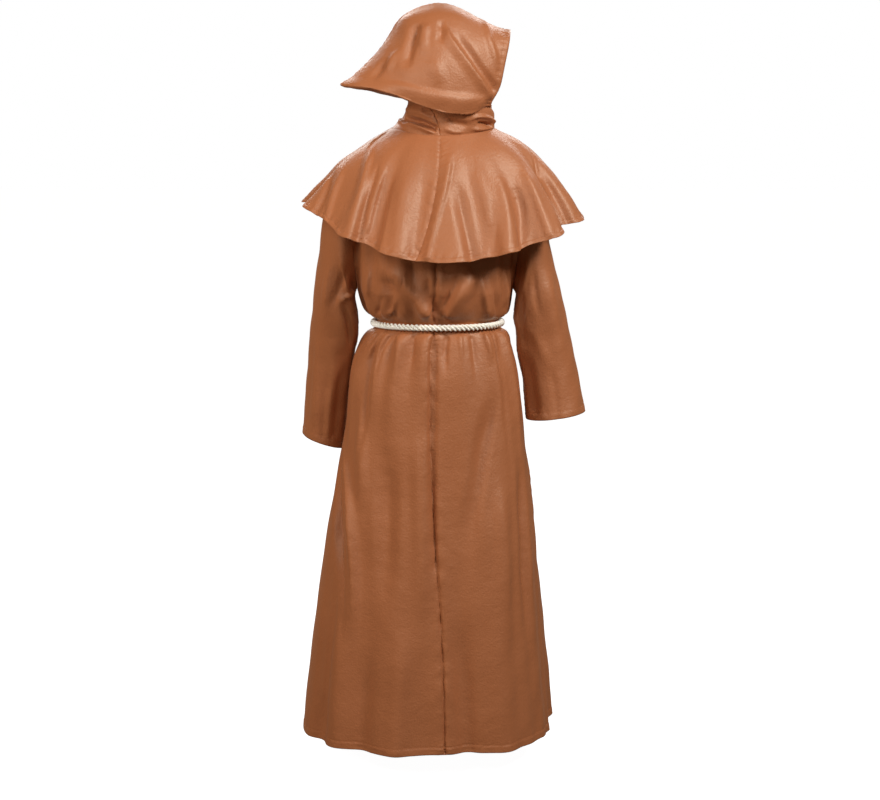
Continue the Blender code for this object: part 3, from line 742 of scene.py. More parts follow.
@dataclass
class Cape:
    """The shoulder cape: two halves that hang from the neck seam in wide folds."""

    rows: tuple[CapeRow, ...] = (
        CapeRow(0.00, 0.108, 0.013, 0.122, 0.012, 0.085, -0.004, 0.080, -0.030),
        CapeRow(0.25, 0.164, -0.021, 0.187, -0.023, 0.122, -0.055, 0.115, -0.078),
        CapeRow(0.50, 0.219, -0.059, 0.241, -0.073, 0.150, -0.120, 0.145, -0.142),
        CapeRow(0.75, 0.265, -0.106, 0.284, -0.131, 0.179, -0.195, 0.174, -0.213),
        CapeRow(1.00, 0.308, -0.154, 0.318, -0.190, 0.212, -0.274, 0.204, -0.292),
    )
    folds: tuple[CapeFold, ...] = (
        CapeFold(5, 10, 0.010), CapeFold(20, 9, -0.013), CapeFold(36, 11, 0.013),
        CapeFold(52, 9, -0.012), CapeFold(68, 11, 0.013), CapeFold(84, 9, -0.011),
        CapeFold(99, 11, 0.013), CapeFold(115, 9, -0.012), CapeFold(131, 11, 0.014),
        CapeFold(147, 9, -0.011), CapeFold(162, 9, 0.007), CapeFold(178, 9, 0.006),
        CapeFold(187, 8, -0.012), CapeFold(196, 9, 0.009), CapeFold(212, 10, -0.007),
        CapeFold(228, 9, 0.015), CapeFold(238, 8, -0.017), CapeFold(251, 10, 0.009),
        CapeFold(262, 8, -0.006), CapeFold(275, 12, 0.010), CapeFold(288, 9, -0.013),
        CapeFold(299, 9, 0.009), CapeFold(309, 8, -0.012), CapeFold(322, 10, 0.016),
        CapeFold(336, 9, -0.030), CapeFold(350, 10, 0.010),
    )
    twist: float = 10.0
    fold_growth: float = 1.6
    length: float = 0.31
    reach: float = 0.25
    hem_depth: float = 0.012
    thickness: float = 0.0012
    neck_still: float = 0.03
    near_seam: tuple[float, ...] = (0.25, 0.5)

    def point(self, angle: Any, share: Any) -> Array:
        """Point of the cape at an angle, at a share of its length below the neck seam."""
        row = read_rows(self.rows, "share", share)
        radians = np.radians(angle)
        to_back = np.maximum(0.0, -np.sin(radians))
        turned = angle - self.twist * np.square(share) * to_back
        across, deep = np.cos(np.radians(turned)), np.sin(np.radians(turned))
        reach_x = np.where(across > 0, row.right, row.left)
        side_z = np.where(across > 0, row.right_z, row.left_z)
        reach_y = np.where(deep > 0, row.front, row.back)
        end_z = np.where(deep > 0, row.front_z, row.back_z)
        depth = sum(f.depth * bump(turn_between(turned, f.angle), f.half_width) for f in self.folds)
        depth = depth * np.maximum(share, 0.0) ** self.fold_growth
        return places((reach_x + depth) * across, (reach_y + depth) * deep,
                      side_z * across * across + end_z * deep * deep)

    def under(self, angle: float, share: float) -> Array:
        """Point just below the cape, where the robe's shoulder seam carries it."""
        wall, seat = 0.002, 0.0009
        here = self.point(angle, share)
        along = self.point(angle, share + 0.01) - self.point(angle, share - 0.01)
        around = self.point(angle + 1.0, share) - self.point(angle - 1.0, share)
        outward = unit(np.cross(along, around))
        if outward[2] < 0:
            outward = -outward
        return here - outward * (wall + seat)

    def build(self, satin: bpy.types.Material) -> dict[str, Sewn]:
        """Builds the cape's two halves."""
        shares = joined(np.linspace(0.0, 0.92, 70), np.linspace(0.92, 1.0, 15))[::-1]
        near_seam = np.array(self.near_seam)
        panels = []
        for name, first, last in (("cape_left", 90.0, 270.0), ("cape_right", -90.0, 90.0)):
            angles = joined(np.linspace(first, last, 241), first + near_seam, last - near_seam)
            grid_angle, grid_share = np.meshgrid(angles, shares)
            to_seam = np.minimum(np.abs(turn_between(grid_angle, 270.0)),
                                 np.abs(turn_between(grid_angle, 90.0)))
            spread = np.radians(to_seam) * self.reach * (0.35 + 0.65 * grid_share)
            panels.append(Panel(name, self.point(grid_angle, grid_share), measures={
                "seam": spread, "down": grid_share * self.length,
                "hem": (1.0 - grid_share) * self.length,
                "round": np.radians(grid_angle % 360.0) * self.reach}))
        cloth = Cloth(panels)
        cloth.drift(height=0.0008, length=0.16)
        cloth.draw(Side.BACK, CAPE_CREASES)
        cloth.draw(Side.FRONT, CAPE_FRONT_CREASES)
        cloth.seam("seam", "down", groove=0.0020, pucker=0.0010, spacing=0.020, reach=0.014, wide=0.003)
        cloth.hem("hem", "round", self.hem_depth, thick=0.0008, pucker=0.0010, spacing=0.021)
        cloth.fold(ease(cloth.measures["down"] / self.neck_still))
        return cloth.finish(self.thickness, self.hem_depth, satin)


@dataclass
class Robe:
    """The ankle-length robe: two back and two front panels."""

    cape: Cape
    hem: float = -1.388
    waist: float = -0.427
    underarm: float = -0.350
    squareness: float = 2.15
    gathers: int = 16
    armhole_bow: float = 0.065
    shoulder_start: float = 0.07
    neckline_share: float = 0.5
    thickness: float = 0.0012
    hem_depth: float = 0.018
    front_gain: float = 0.8
    front_reach: float = 0.20
    right_gain: float = 0.5
    tail_lane: float = 0.075
    tail_calm: float = 0.95
    belt_lane: float = 0.016
    belt_hold: float = 0.9
    round_reach: float = 0.28
    near_seam: tuple[float, ...] = (0.2, 0.45, 0.8)
    rows: tuple[BodyRow, ...] = (
        BodyRow(-1.388, 0.324, 0.262, 0.205, 0.195, 0.000, 2.0),
        BodyRow(-1.160, 0.298, 0.243, 0.186, 0.180, 0.000, 1.0),
        BodyRow(-0.900, 0.261, 0.222, 0.164, 0.160, 0.000, -2.0),
        BodyRow(-0.670, 0.218, 0.194, 0.143, 0.141, 0.001, -5.0),
        BodyRow(-0.545, 0.203, 0.176, 0.135, 0.132, 0.003, -5.0),
        BodyRow(-0.473, 0.178, 0.159, 0.124, 0.120, 0.005, -5.0),
        BodyRow(-0.447, 0.162, 0.149, 0.116, 0.112, 0.004, -4.0),
        BodyRow(-0.436, 0.144, 0.133, 0.108, 0.104, 0.001, -4.0),
        BodyRow(-0.427, 0.143, 0.132, 0.107, 0.103, 0.000, -4.0),
        BodyRow(-0.418, 0.144, 0.133, 0.108, 0.104, 0.001, -4.0),
        BodyRow(-0.407, 0.162, 0.149, 0.117, 0.113, 0.004, -4.0),
        BodyRow(-0.390, 0.173, 0.155, 0.127, 0.119, 0.005, -3.0),
        BodyRow(-0.350, 0.186, 0.163, 0.141, 0.131, 0.003, -2.0),
    )
    folds: tuple[SkirtFold, ...] = (
        SkirtFold(0, 11, -0.024, -0.58), SkirtFold(22, 13, 0.028, -0.58),
        SkirtFold(44, 11, -0.009, -0.66), SkirtFold(63, 12, 0.014, -0.55),
        SkirtFold(84, 11, -0.011, -0.60), SkirtFold(104, 12, 0.014, -0.52),
        SkirtFold(126, 11, -0.011, -0.62), SkirtFold(147, 12, 0.012, -0.58),
        SkirtFold(168, 10, -0.008, -0.70), SkirtFold(209, 10, -0.012, -0.60),
        SkirtFold(223, 11, 0.013, -0.56), SkirtFold(251, 16, 0.018, -0.62),
        SkirtFold(280, 11, -0.012, -0.50), SkirtFold(301, 13, 0.013, -0.62),
        SkirtFold(330, 12, -0.006, -0.80), SkirtFold(344, 9, -0.006, -0.70),
    )

    SHOULDER_END = {Hand.LEFT: 0.43, Hand.RIGHT: 0.33}
    NECKLINE = {"back": (-0.098, -0.034), "front": (0.095, -0.078)}
    PANELS = (("robe_back_left", 180.0, -1.0), ("robe_back_right", 270.0, -1.0),
              ("robe_front_right", 0.0, 1.0), ("robe_front_left", 90.0, 1.0))

    def ring(self, angle: Any, height: Any) -> Array:
        """Point of the robe at an angle and level, from the hem to the underarms."""
        row = read_rows(self.rows, "height", height)
        radians = np.radians(angle)
        to_back = np.maximum(0.0, -np.sin(radians))
        turned = np.radians(angle + row.seam_turn * to_back)
        across, deep = np.cos(turned), np.sin(turned)
        power = 2.0 / self.squareness
        reach_x = np.where(across > 0, row.right, row.left)
        reach_y = np.where(deep > 0, row.front, row.back)
        x = np.sign(across) * np.abs(across) ** power * reach_x
        y = np.sign(deep) * np.abs(deep) ** power * reach_y
        depth = sum(f.depth * bump(turn_between(angle, f.angle), f.half_width)
                    * ease((f.top - height) / (f.top - self.hem) * 1.2) for f in self.folds)
        depth = depth + row.gather * np.cos(self.gathers * radians + 1.3 * np.sin(3.0 * radians))
        return places(x + depth * across, y + depth * deep, height)

    def shoulder_end(self, hand: Hand) -> Array:
        """Outer end of a shoulder seam, at the top of the armhole."""
        return self.cape.under(180.0 if hand is Hand.LEFT else 0.0, self.SHOULDER_END[hand])

    def top(self, angle: float) -> Array:
        """Point of a panel's top edge: along the shoulder seam, then round the neckline."""
        hand = Hand.LEFT if math.cos(math.radians(angle)) < 0 else Hand.RIGHT
        face = "front" if 0.0 <= angle <= 180.0 else "back"
        share = abs(turn_between(angle, 90.0 if face == "front" else 270.0)) / 90.0
        side_angle = 180.0 if hand is Hand.LEFT else 0.0
        if share >= self.neckline_share:
            along = (share - self.neckline_share) / (1.0 - self.neckline_share)
            return self.cape.under(side_angle, self.shoulder_start
                                   + along * (self.SHOULDER_END[hand] - self.shoulder_start))
        neck = self.cape.under(side_angle, self.shoulder_start)
        swing = math.radians(90.0 * share / self.neckline_share)
        middle_y, middle_z = self.NECKLINE[face]
        drop = math.cos(swing) ** 2
        return np.array((neck[0] * math.sin(swing), middle_y * math.cos(swing),
                         neck[2] + (middle_z - neck[2]) * drop))

    def armhole(self, hand: Hand, share: Any, forward: Any) -> Array:
        """Point of an armhole's edge, from the underarm (0) to the shoulder (1)."""
        start = self.ring(180.0 if hand is Hand.LEFT else 0.0, self.underarm)
        end = self.shoulder_end(hand)
        share = np.asarray(share, float)[..., None]
        bow = np.asarray(forward)[..., None] * self.armhole_bow * np.sin(math.pi * share)
        return start + (end - start) * share + bow * np.array((0.0, 1.0, 0.0))

    def armhole_facing(self, hand: Hand) -> Array:
        """Unit vector out of the plane of an armhole, towards its sleeve."""
        rise = self.armhole(hand, 1.0, 0.0) - self.armhole(hand, 0.0, 0.0)
        facing = unit(np.cross(rise, (0.0, 1.0, 0.0)))
        return facing if facing[0] * hand.value > 0 else -facing

    def upper(self, angles: Array, shares: Array, forward: float) -> Array:
        """Grid of a panel from just above the underarms to its top edge."""
        columns = []
        for angle in angles:
            around = angle % 360.0
            if round(around % 180.0, 6) == 0.0:
                hand = Hand.LEFT if around == 180.0 else Hand.RIGHT
                column = self.armhole(hand, shares, forward * (shares < 1.0))
            else:
                start, end = self.ring(around, self.underarm), self.top(around)
                off = abs(turn_between(around, 90.0 if forward > 0 else 270.0)) / 90.0
                edge = off ** 3
                quarter = 0.5 * math.pi * shares
                rise = (1.0 - edge) * np.sin(quarter) + edge * shares
                lean = (1.0 - edge) * (1.0 - np.cos(quarter)) + edge * shares
                sideways = abs(math.cos(math.radians(around)))
                bow = forward * self.armhole_bow * np.sin(math.pi * shares) * sideways * off ** 4
                column = start + (end - start) * np.stack([lean, lean, rise], axis=-1)
                column[:, 1] += bow
            columns.append(column)
        return np.stack(columns, axis=1)

    def build(self, satin: bpy.types.Material) -> dict[str, Sewn]:
        """Builds the robe's panels."""
        hem_end = self.hem + 0.024
        heights = joined(np.linspace(self.hem, hem_end, 13), np.linspace(hem_end, -0.50, 92),
                         np.linspace(-0.50, -0.385, 36), np.linspace(-0.385, self.underarm, 6))
        shares = np.linspace(0.0, 1.0, 36)[1:]
        near_seam = np.array(self.near_seam)
        panels = []
        for name, first, forward in self.PANELS:
            angles = joined(np.linspace(first, first + 90.0, 73), first + near_seam,
                            first + 90.0 - near_seam)
            grid_angle, grid_height = np.meshgrid(angles, heights)
            lower = self.ring(grid_angle % 360.0, grid_height)
            grid = np.concatenate([lower, self.upper(angles, shares, forward)])
            rows = np.concatenate([heights, np.full(len(shares), self.underarm)])
            off_seam = np.minimum(np.abs(turn_between(angles, 270.0)), np.abs(turn_between(angles, 90.0)))
            wide = np.abs(curve_through([row.height for row in self.rows],
                                        [row.left for row in self.rows], rows))
            panels.append(Panel(name, grid, measures={
                "seam": np.radians(off_seam)[None, :] * wide[:, None],
                "down": grid[:, :, 2],
                "hem": np.maximum(grid[:, :, 2] - self.hem, 0.0),
                "round": np.radians(angles % 360.0)[None, :] * self.round_reach}))
        cloth = Cloth(panels)
        cloth.drift(height=0.0011, length=0.26)
        for creases in (UPPER_CREASES, SKIRT_CREASES):
            inner = [crease for crease in creases if abs(crease.path[0][0]) < self.front_reach]
            cloth.draw(Side.BACK, creases)
            cloth.draw(Side.FRONT, inner, self.front_gain, flip=True)
        cloth.draw(Side.LEFT, SKIRT_SIDE_CREASES)
        cloth.draw(Side.RIGHT, SKIRT_SIDE_CREASES, self.right_gain)
        x, y, z = cloth.points.T
        behind_tails = bump(x, self.tail_lane) * (y > 0.0) * (z < self.waist)
        cloth.lift *= 1.0 - self.tail_calm * behind_tails
        cloth.seam("seam", "down", groove=0.0056, pucker=0.0012, spacing=0.0115, reach=0.012, wide=0.0042)
        cloth.seam("seam", "down", groove=0.0, pucker=0.0008, spacing=0.034, reach=0.022)
        cloth.hem("hem", "round", self.hem_depth, thick=0.0008, pucker=0.0008, spacing=0.034)
        cloth.fold(1.0 - self.belt_hold * bump(cloth.points[:, 2] - self.waist, self.belt_lane))
        return cloth.finish(self.thickness, self.hem_depth, satin)


@dataclass
class Sleeve:
    """A wide straight sleeve, from its armhole to its open cuff."""

    hand: Hand
    robe: Robe
    blend: float = 0.30
    thickness: float = 0.0012
    length: float = 0.50
    hem_depth: float = 0.015
    round_reach: float = 0.075
    front_gain: float = 0.8
    armhole_still: float = 0.05

    ROWS = {
        Hand.LEFT: (
            SleeveRow(0.00, 0.205, -0.060, 0.186, -0.350, 0.000, 0.062),
            SleeveRow(0.10, 0.240, -0.100, 0.191, -0.366, 0.002, 0.066),
            SleeveRow(0.20, 0.258, -0.152, 0.191, -0.386, 0.005, 0.068),
            SleeveRow(0.33, 0.269, -0.222, 0.187, -0.422, 0.010, 0.068),
            SleeveRow(0.50, 0.286, -0.340, 0.188, -0.480, 0.024, 0.066),
            SleeveRow(0.67, 0.301, -0.462, 0.202, -0.553, 0.050, 0.063),
            SleeveRow(0.83, 0.313, -0.583, 0.213, -0.645, 0.074, 0.066),
            SleeveRow(1.00, 0.324, -0.700, 0.220, -0.734, 0.095, 0.073),
        ),
        Hand.RIGHT: (
            SleeveRow(0.00, 0.205, -0.060, 0.163, -0.350, 0.000, 0.062),
            SleeveRow(0.10, 0.231, -0.112, 0.169, -0.362, 0.001, 0.066),
            SleeveRow(0.20, 0.240, -0.166, 0.171, -0.376, 0.003, 0.068),
            SleeveRow(0.33, 0.247, -0.234, 0.170, -0.396, 0.007, 0.068),
            SleeveRow(0.50, 0.272, -0.338, 0.168, -0.434, 0.012, 0.066),
            SleeveRow(0.67, 0.296, -0.442, 0.175, -0.496, 0.018, 0.063),
            SleeveRow(0.83, 0.317, -0.540, 0.191, -0.566, 0.024, 0.067),
            SleeveRow(1.00, 0.337, -0.635, 0.199, -0.654, 0.024, 0.075),
        ),
    }
    FOLDS = (
        SleeveFold(250, 40, -0.006, 0.34, 0.14), SleeveFold(300, 34, 0.005, 0.50, 0.18),
        SleeveFold(235, 34, -0.005, 0.66, 0.14), SleeveFold(110, 40, -0.006, 0.42, 0.16),
        SleeveFold(60, 34, 0.004, 0.72, 0.18), SleeveFold(180, 40, -0.006, 0.56, 0.12),
    )

    def oval(self, angle: Any, share: Any) -> Array:
        """Point of the free tube: angle 0 is its outer edge and 180 its underarm side."""
        row = read_rows(self.ROWS[self.hand], "share", share)
        radians = np.radians(angle)
        outer = places(self.hand.value * row.outer, row.middle_y, row.outer_z)
        inner = places(self.hand.value * row.inner, row.middle_y, row.inner_z)
        depth = places(0.0, row.half_depth, 0.0)
        rim = (outer - inner) * 0.5 * np.cos(radians)[..., None] + depth * np.sin(radians)[..., None]
        rise = sum(f.depth * bump(turn_between(angle, f.angle), f.half_width)
                   * bump(share - f.share, f.spread) for f in self.FOLDS)
        return (outer + inner) * 0.5 + rim + unit(rim) * rise[..., None]

    def point(self, angle: Any, share: Any) -> Array:
        """Point of the sleeve, drawn to its armhole at its upper end."""
        height = 0.5 * (1.0 + np.cos(np.radians(angle)))
        forward = np.where(np.sin(np.radians(angle)) < 0, -1.0, 1.0)
        edge = self.robe.armhole(self.hand, height, forward)
        pull = (1.0 - ease(share / self.blend))[..., None]
        return self.oval(angle, share) + (edge - self.oval(angle, np.zeros_like(share))) * pull

    def build(self, satin: bpy.types.Material) -> dict[str, Sewn]:
        """Builds the sleeve as one tube."""
        angles = np.linspace(0.0, 360.0, 109)[:-1]
        shares = joined(np.linspace(0.0, 0.94, 76), np.linspace(0.94, 1.0, 13))
        grid_angle, grid_share = np.meshgrid(angles, shares)
        name = "sleeve_" + self.hand.word
        to_seam = np.radians(np.abs(turn_between(grid_angle, 180.0))) * self.round_reach
        panel = Panel(name, self.point(grid_angle, grid_share), closed=True,
                      flipped=self.hand is Hand.RIGHT, measures={
                          "seam": to_seam, "down": grid_share * self.length,
                          "hem": (1.0 - grid_share) * self.length,
                          "round": np.radians(grid_angle) * self.round_reach})
        cloth = Cloth([panel])
        cloth.drift(height=0.0010, length=0.17)
        cloth.draw(Side.BACK, SLEEVE_CREASES[self.hand])
        cloth.draw(Side.FRONT, SLEEVE_CREASES[self.hand], self.front_gain)
        cloth.seam("seam", "down", groove=0.0012, pucker=0.0006, spacing=0.024)
        cloth.hem("hem", "round", self.hem_depth, thick=0.0007, pucker=0.0006, spacing=0.03)
        cloth.fold(ease(cloth.measures["down"] / self.armhole_still))
        return cloth.finish(self.thickness, self.hem_depth, satin)


@dataclass
class Hood:
    """The hood: two side panels, joined along the back and over the top."""

    cape: Cape
    thickness: float = 0.0012
    lift: float = -0.0012
    hem_depth: float = 0.013
    roll_top: float = 0.10
    front_gain: float = 0.6
    neck_still: float = 0.008
    rows: tuple[HoodRow, ...] = (
        HoodRow(0.000, 0.085, 0.080, 0.122, 0.108, 0, 1.00, 170, -0.004, 0.013, 0.013, -0.030, 2.0),
        HoodRow(0.012, 0.086, 0.088, 0.110, 0.100, -12, 1.00, 160, 0.026, 0.030, 0.030, 0.002, 2.0),
        HoodRow(0.020, 0.092, 0.094, 0.102, 0.098, -28, 1.00, 148, 0.054, 0.052, 0.052, 0.034, 2.0),
        HoodRow(0.018, 0.102, 0.100, 0.096, 0.096, -50, 1.10, 134, 0.082, 0.070, 0.072, 0.060, 2.0),
        HoodRow(0.000, 0.224, 0.160, 0.114, 0.108, -70, 1.45, 124, 0.101, 0.044, 0.074, 0.062, 5.5),
        HoodRow(0.000, 0.203, 0.196, 0.118, 0.112, -73, 1.45, 124, 0.124, 0.096, 0.112, 0.099, 3.0),
        HoodRow(0.000, 0.170, 0.219, 0.114, 0.110, -74, 1.35, 124, 0.152, 0.150, 0.154, 0.142, 2.0),
        HoodRow(0.000, 0.121, 0.244, 0.097, 0.096, -75, 1.20, 124, 0.206, 0.206, 0.206, 0.192, 2.0),
        HoodRow(0.000, 0.097, 0.266, 0.060, 0.060, -75, 1.05, 124, 0.245, 0.262, 0.262, 0.221, 2.0),
        HoodRow(0.000, 0.082, 0.292, 0.000, 0.000, -75, 1.00, 124, 0.261, 0.287, 0.287, 0.230, 2.0),
    )

    def point(self, hand: Hand, angle: Any, level: Any) -> Array:
        """Point of a panel: angle 0 is the back seam and 1 the opening; level 9 is the top seam."""
        columns = zip(*self.rows)
        row = HoodRow(*(curve_through(range(len(self.rows)), column, level) for column in columns))
        around = angle * row.open_to
        radians = np.radians(around)
        near = hand is Hand.RIGHT
        reach, side_z = (row.near, row.near_z) if near else (row.far, row.far_z)
        rise = np.sin(radians)
        wide = reach * rise ** row.point
        low = row.back_z + (side_z - row.back_z) * rise ** row.droop
        past = 0.5 * math.pi * (around - 90.0) / (row.open_to - 90.0)
        high = side_z + (row.front_z - side_z) * np.sin(past) ** 2
        height = np.where(around < 90.0, low, high)
        along = np.where(around < 90.0, row.back, row.front)
        heading = np.radians(-90.0 + row.turn)
        back = places(np.cos(heading), np.sin(heading), 0.0)
        across = places(-np.sin(heading), np.cos(heading), 0.0) * hand.value
        shaped = (back * (along * np.cos(radians))[..., None] + across * wide[..., None]
                  + places(row.x, 0.0, height))
        seated = self.cape.point(-90.0 + hand.value * around, np.zeros_like(level))
        seated = seated + np.array((0.0, 0.0, self.lift))
        share = ease(level)[..., None]
        return np.where((level < 1.0)[..., None], seated + (shaped - seated) * share, shaped)

    def build(self, satin: bpy.types.Material) -> dict[str, Sewn]:
        """Builds the hood's two panels."""
        angles = joined(np.linspace(0.0, 0.06, 8), np.linspace(0.06, 0.92, 96), np.linspace(0.92, 1.0, 11))
        levels = joined(np.linspace(0.0, 3.0, 50), np.linspace(3.0, 4.5, 30), np.linspace(4.5, 9.0, 60))
        grid_angle, grid_level = np.meshgrid(angles, levels)
        panels = []
        for hand in (Hand.LEFT, Hand.RIGHT):
            grid = self.point(hand, grid_angle, grid_level)
            steps = np.linalg.norm(np.diff(grid, axis=1), axis=2)
            from_back = np.concatenate([np.zeros((len(levels), 1)), np.cumsum(steps, axis=1)], axis=1)
            rises = np.linalg.norm(np.diff(grid, axis=0), axis=2)
            up = np.concatenate([np.zeros((1, len(angles))), np.cumsum(rises, axis=0)], axis=0)
            to_top = up[-1:] - up
            panels.append(Panel("hood_" + hand.word, grid, flipped=hand is Hand.LEFT, measures={
                "seam": np.minimum(from_back, to_top), "down": up + from_back,
                "hem": from_back[:, -1:] - from_back, "up": up}))
        cloth = Cloth(panels)
        cloth.drift(height=0.0007, length=0.13)
        cloth.draw(Side.BACK, HOOD_CREASES)
        cloth.draw(Side.BACK, COLLAR_CREASES)
        high = [crease for crease in HOOD_CREASES if crease.path[-1][1] > self.roll_top]
        cloth.draw(Side.FRONT, high, self.front_gain)
        cloth.seam("seam", "down", groove=0.0018, pucker=0.0006, spacing=0.022)
        cloth.hem("hem", "up", self.hem_depth, thick=0.0008, pucker=0.0010, spacing=0.02)
        cloth.fold(ease(cloth.measures["up"] / self.neck_still))
        return cloth.finish(self.thickness, self.hem_depth, satin)


@dataclass
class Rope:
    """A rope of three twisted strands, each with fine yarns."""

    diameter: float = 0.0155
    strands: int = 3
    pitch: float = 0.031
    yarns: int = 6
    yarn_depth: float = 0.07
    sides: int = 22
    spacing: float = 0.0016

    @property
    def strand(self) -> float:
        """Radius of one strand, so that the strands just touch."""
        return 0.5 * self.diameter / (1.0 + 2.0 / math.sqrt(3.0))

    def mesh(self, name: str, routes: Sequence[Array]) -> bpy.types.Mesh:
        """Makes one mesh of twisted rope along each route."""
        points: list[Array] = []
        faces: list[list[int]] = []
        start = 0
        for route in routes:
            for index in range(self.strands):
                rings = self.strand_rings(route, 2.0 * math.pi * index / self.strands)
                count, sides = rings.shape[:2]
                numbers = start + np.arange(count * sides).reshape(count, sides)
                beside = np.roll(numbers, -1, axis=1)
                quads = np.stack([numbers[:-1], numbers[1:], beside[1:], beside[:-1]], axis=-1)
                faces += quads.reshape(-1, 4).tolist()
                faces += [numbers[0].tolist(), numbers[-1][::-1].tolist()]
                points.append(rings.reshape(-1, 3))
                start += count * sides
        mesh = bpy.data.meshes.new(name)
        mesh.from_pydata(np.concatenate(points).tolist(), [], faces)
        mesh.shade_smooth()
        return mesh

    def strand_rings(self, route: Array, phase: float) -> Array:
        """Cross sections of one strand along a route."""
        ahead = unit(np.gradient(route, axis=0))
        side = [unit(np.cross(ahead[0], (0.3, 0.5, 0.81)))]
        for direction in ahead[1:]:
            carried = side[-1] - direction * np.dot(side[-1], direction)
            side.append(unit(carried))
        first = np.array(side)
        second = np.cross(ahead, first)
        run = np.concatenate([[0.0], np.cumsum(np.linalg.norm(np.diff(route, axis=0), axis=1))])
        turn = 2.0 * math.pi * run / self.pitch + phase
        out = first * np.cos(turn)[:, None] + second * np.sin(turn)[:, None]
        middle = route + out * (0.5 * self.diameter - self.strand)
        around = np.linspace(0.0, 2.0 * math.pi, self.sides, endpoint=False)
        lobes = 1.0 + self.yarn_depth * (np.cos(self.yarns * (around[None, :] + 1.6 * turn[:, None])) - 1.0)
        beside = np.cross(ahead, out)
        rim = (out[:, None, :] * np.cos(around)[None, :, None]
               + beside[:, None, :] * np.sin(around)[None, :, None])
        return middle[:, None, :] + rim * (self.strand * lobes)[:, :, None]


@dataclass
class Belt:
    """The rope belt: its ring, the knot in front, two hanging ends and their end knots."""

    robe: Robe
    rope: Rope = field(default_factory=Rope)
    gap: float = 0.0009
    knot: tuple[float, float, float] = (0.044, 0.028, 0.032)
    knot_front: float = 0.005
    end_knot: tuple[float, float, float] = (0.026, 0.026, 0.030)
    tail_gap: float = 0.0007

    TAILS = {
        Hand.LEFT: ((-0.011, 0.130, -0.4435), (-0.012, 0.132, -0.470), (-0.015, 0.138, -0.500),
                    (-0.020, 0.145, -0.545), (-0.024, 0.151, -0.600), (-0.026, 0.156, -0.660),
                    (-0.026, 0.164, -0.720), (-0.025, 0.1705, -0.772), (-0.025, 0.171, -0.800)),
        Hand.RIGHT: ((0.011, 0.130, -0.4435), (0.012, 0.132, -0.470), (0.014, 0.138, -0.500),
                     (0.019, 0.145, -0.545), (0.024, 0.151, -0.600), (0.028, 0.156, -0.660),
                     (0.031, 0.161, -0.720), (0.032, 0.169, -0.780), (0.032, 0.1755, -0.835),
                     (0.032, 0.176, -0.865)),
    }

    def ring_route(self) -> Array:
        """Middle line of the rope round the waist, from one side of the knot to the other."""
        waist = self.robe.waist
        reach = self.rope.diameter * 0.5 + self.gap
        front = self.robe.ring(90.0, waist)[1] + reach
        half = self.knot[0] * 0.5 + self.tail_gap
        start = math.degrees(math.asin(half / front))
        angles = np.linspace(90.0 + start, 450.0 - start, 52)
        outward = places(np.cos(np.radians(angles)), np.sin(np.radians(angles)), 0.0)
        route = self.robe.ring(angles % 360.0, np.full(len(angles), waist)) + outward * reach
        route[0] = (-half, front, waist)
        route[-1] = (half, front, waist)
        route[1, 1] = route[-2, 1] = front
        return smooth_route(route, self.rope.spacing)

    def wraps(self, centre: Array, size: Sequence[float], turns: float, tilt: float) -> Array:
        """A knot's rope, wound round an upright core inside a box of the given size."""
        half = self.rope.diameter * 0.5
        run = np.linspace(0.0, 1.0, int(turns * 70))
        swing = 2.0 * math.pi * turns * run - 0.5 * math.pi
        rise = (size[2] - 2.0 * half) * (run - 0.5) + tilt * np.cos(swing)
        return centre + places((size[0] * 0.5 - half) * np.cos(swing),
                               (size[1] * 0.5 - half) * np.sin(swing), rise)

    def piece(self, node: str, routes: Sequence[Array], material: bpy.types.Material) -> bpy.types.Object:
        """Makes a rope piece that stands for one of the part's nodes."""
        piece = bpy.data.objects.new(node + "_rope", self.rope.mesh(node + "_rope", routes))
        piece.data.materials.append(material)
        return seat(piece, "rope", node)

    def build(self, cord: bpy.types.Material) -> None:
        """Builds the rope, its knots and its hanging ends."""
        self.piece("belt_ring", [self.ring_route()], cord)
        waist = self.robe.waist
        front = self.robe.ring(90.0, waist)[1]
        middle = np.array((0.0, front + self.knot_front + self.knot[1] * 0.5, waist))
        self.piece("belt_knot", [self.wraps(middle, self.knot, 2.0, 0.003)], cord)
        for hand, points in self.TAILS.items():
            route = smooth_route(points, self.rope.spacing)
            low = np.array(points[-1]) - (0.0, 0.0, self.tail_gap + self.end_knot[2] * 0.5)
            knot = self.piece("end_knot_" + hand.word, [self.wraps(low, self.end_knot, 2.0, 0.002)], cord)
            tail = self.piece("belt_end_" + hand.word, [route], cord)


class Lamp(NamedTuple):
    """A square soft light: its place, the length of its side, its power and whether cloth mirrors it."""

    name: str
    place: tuple[float, float, float]
    side: float
    power: float
    mirrored: bool = True


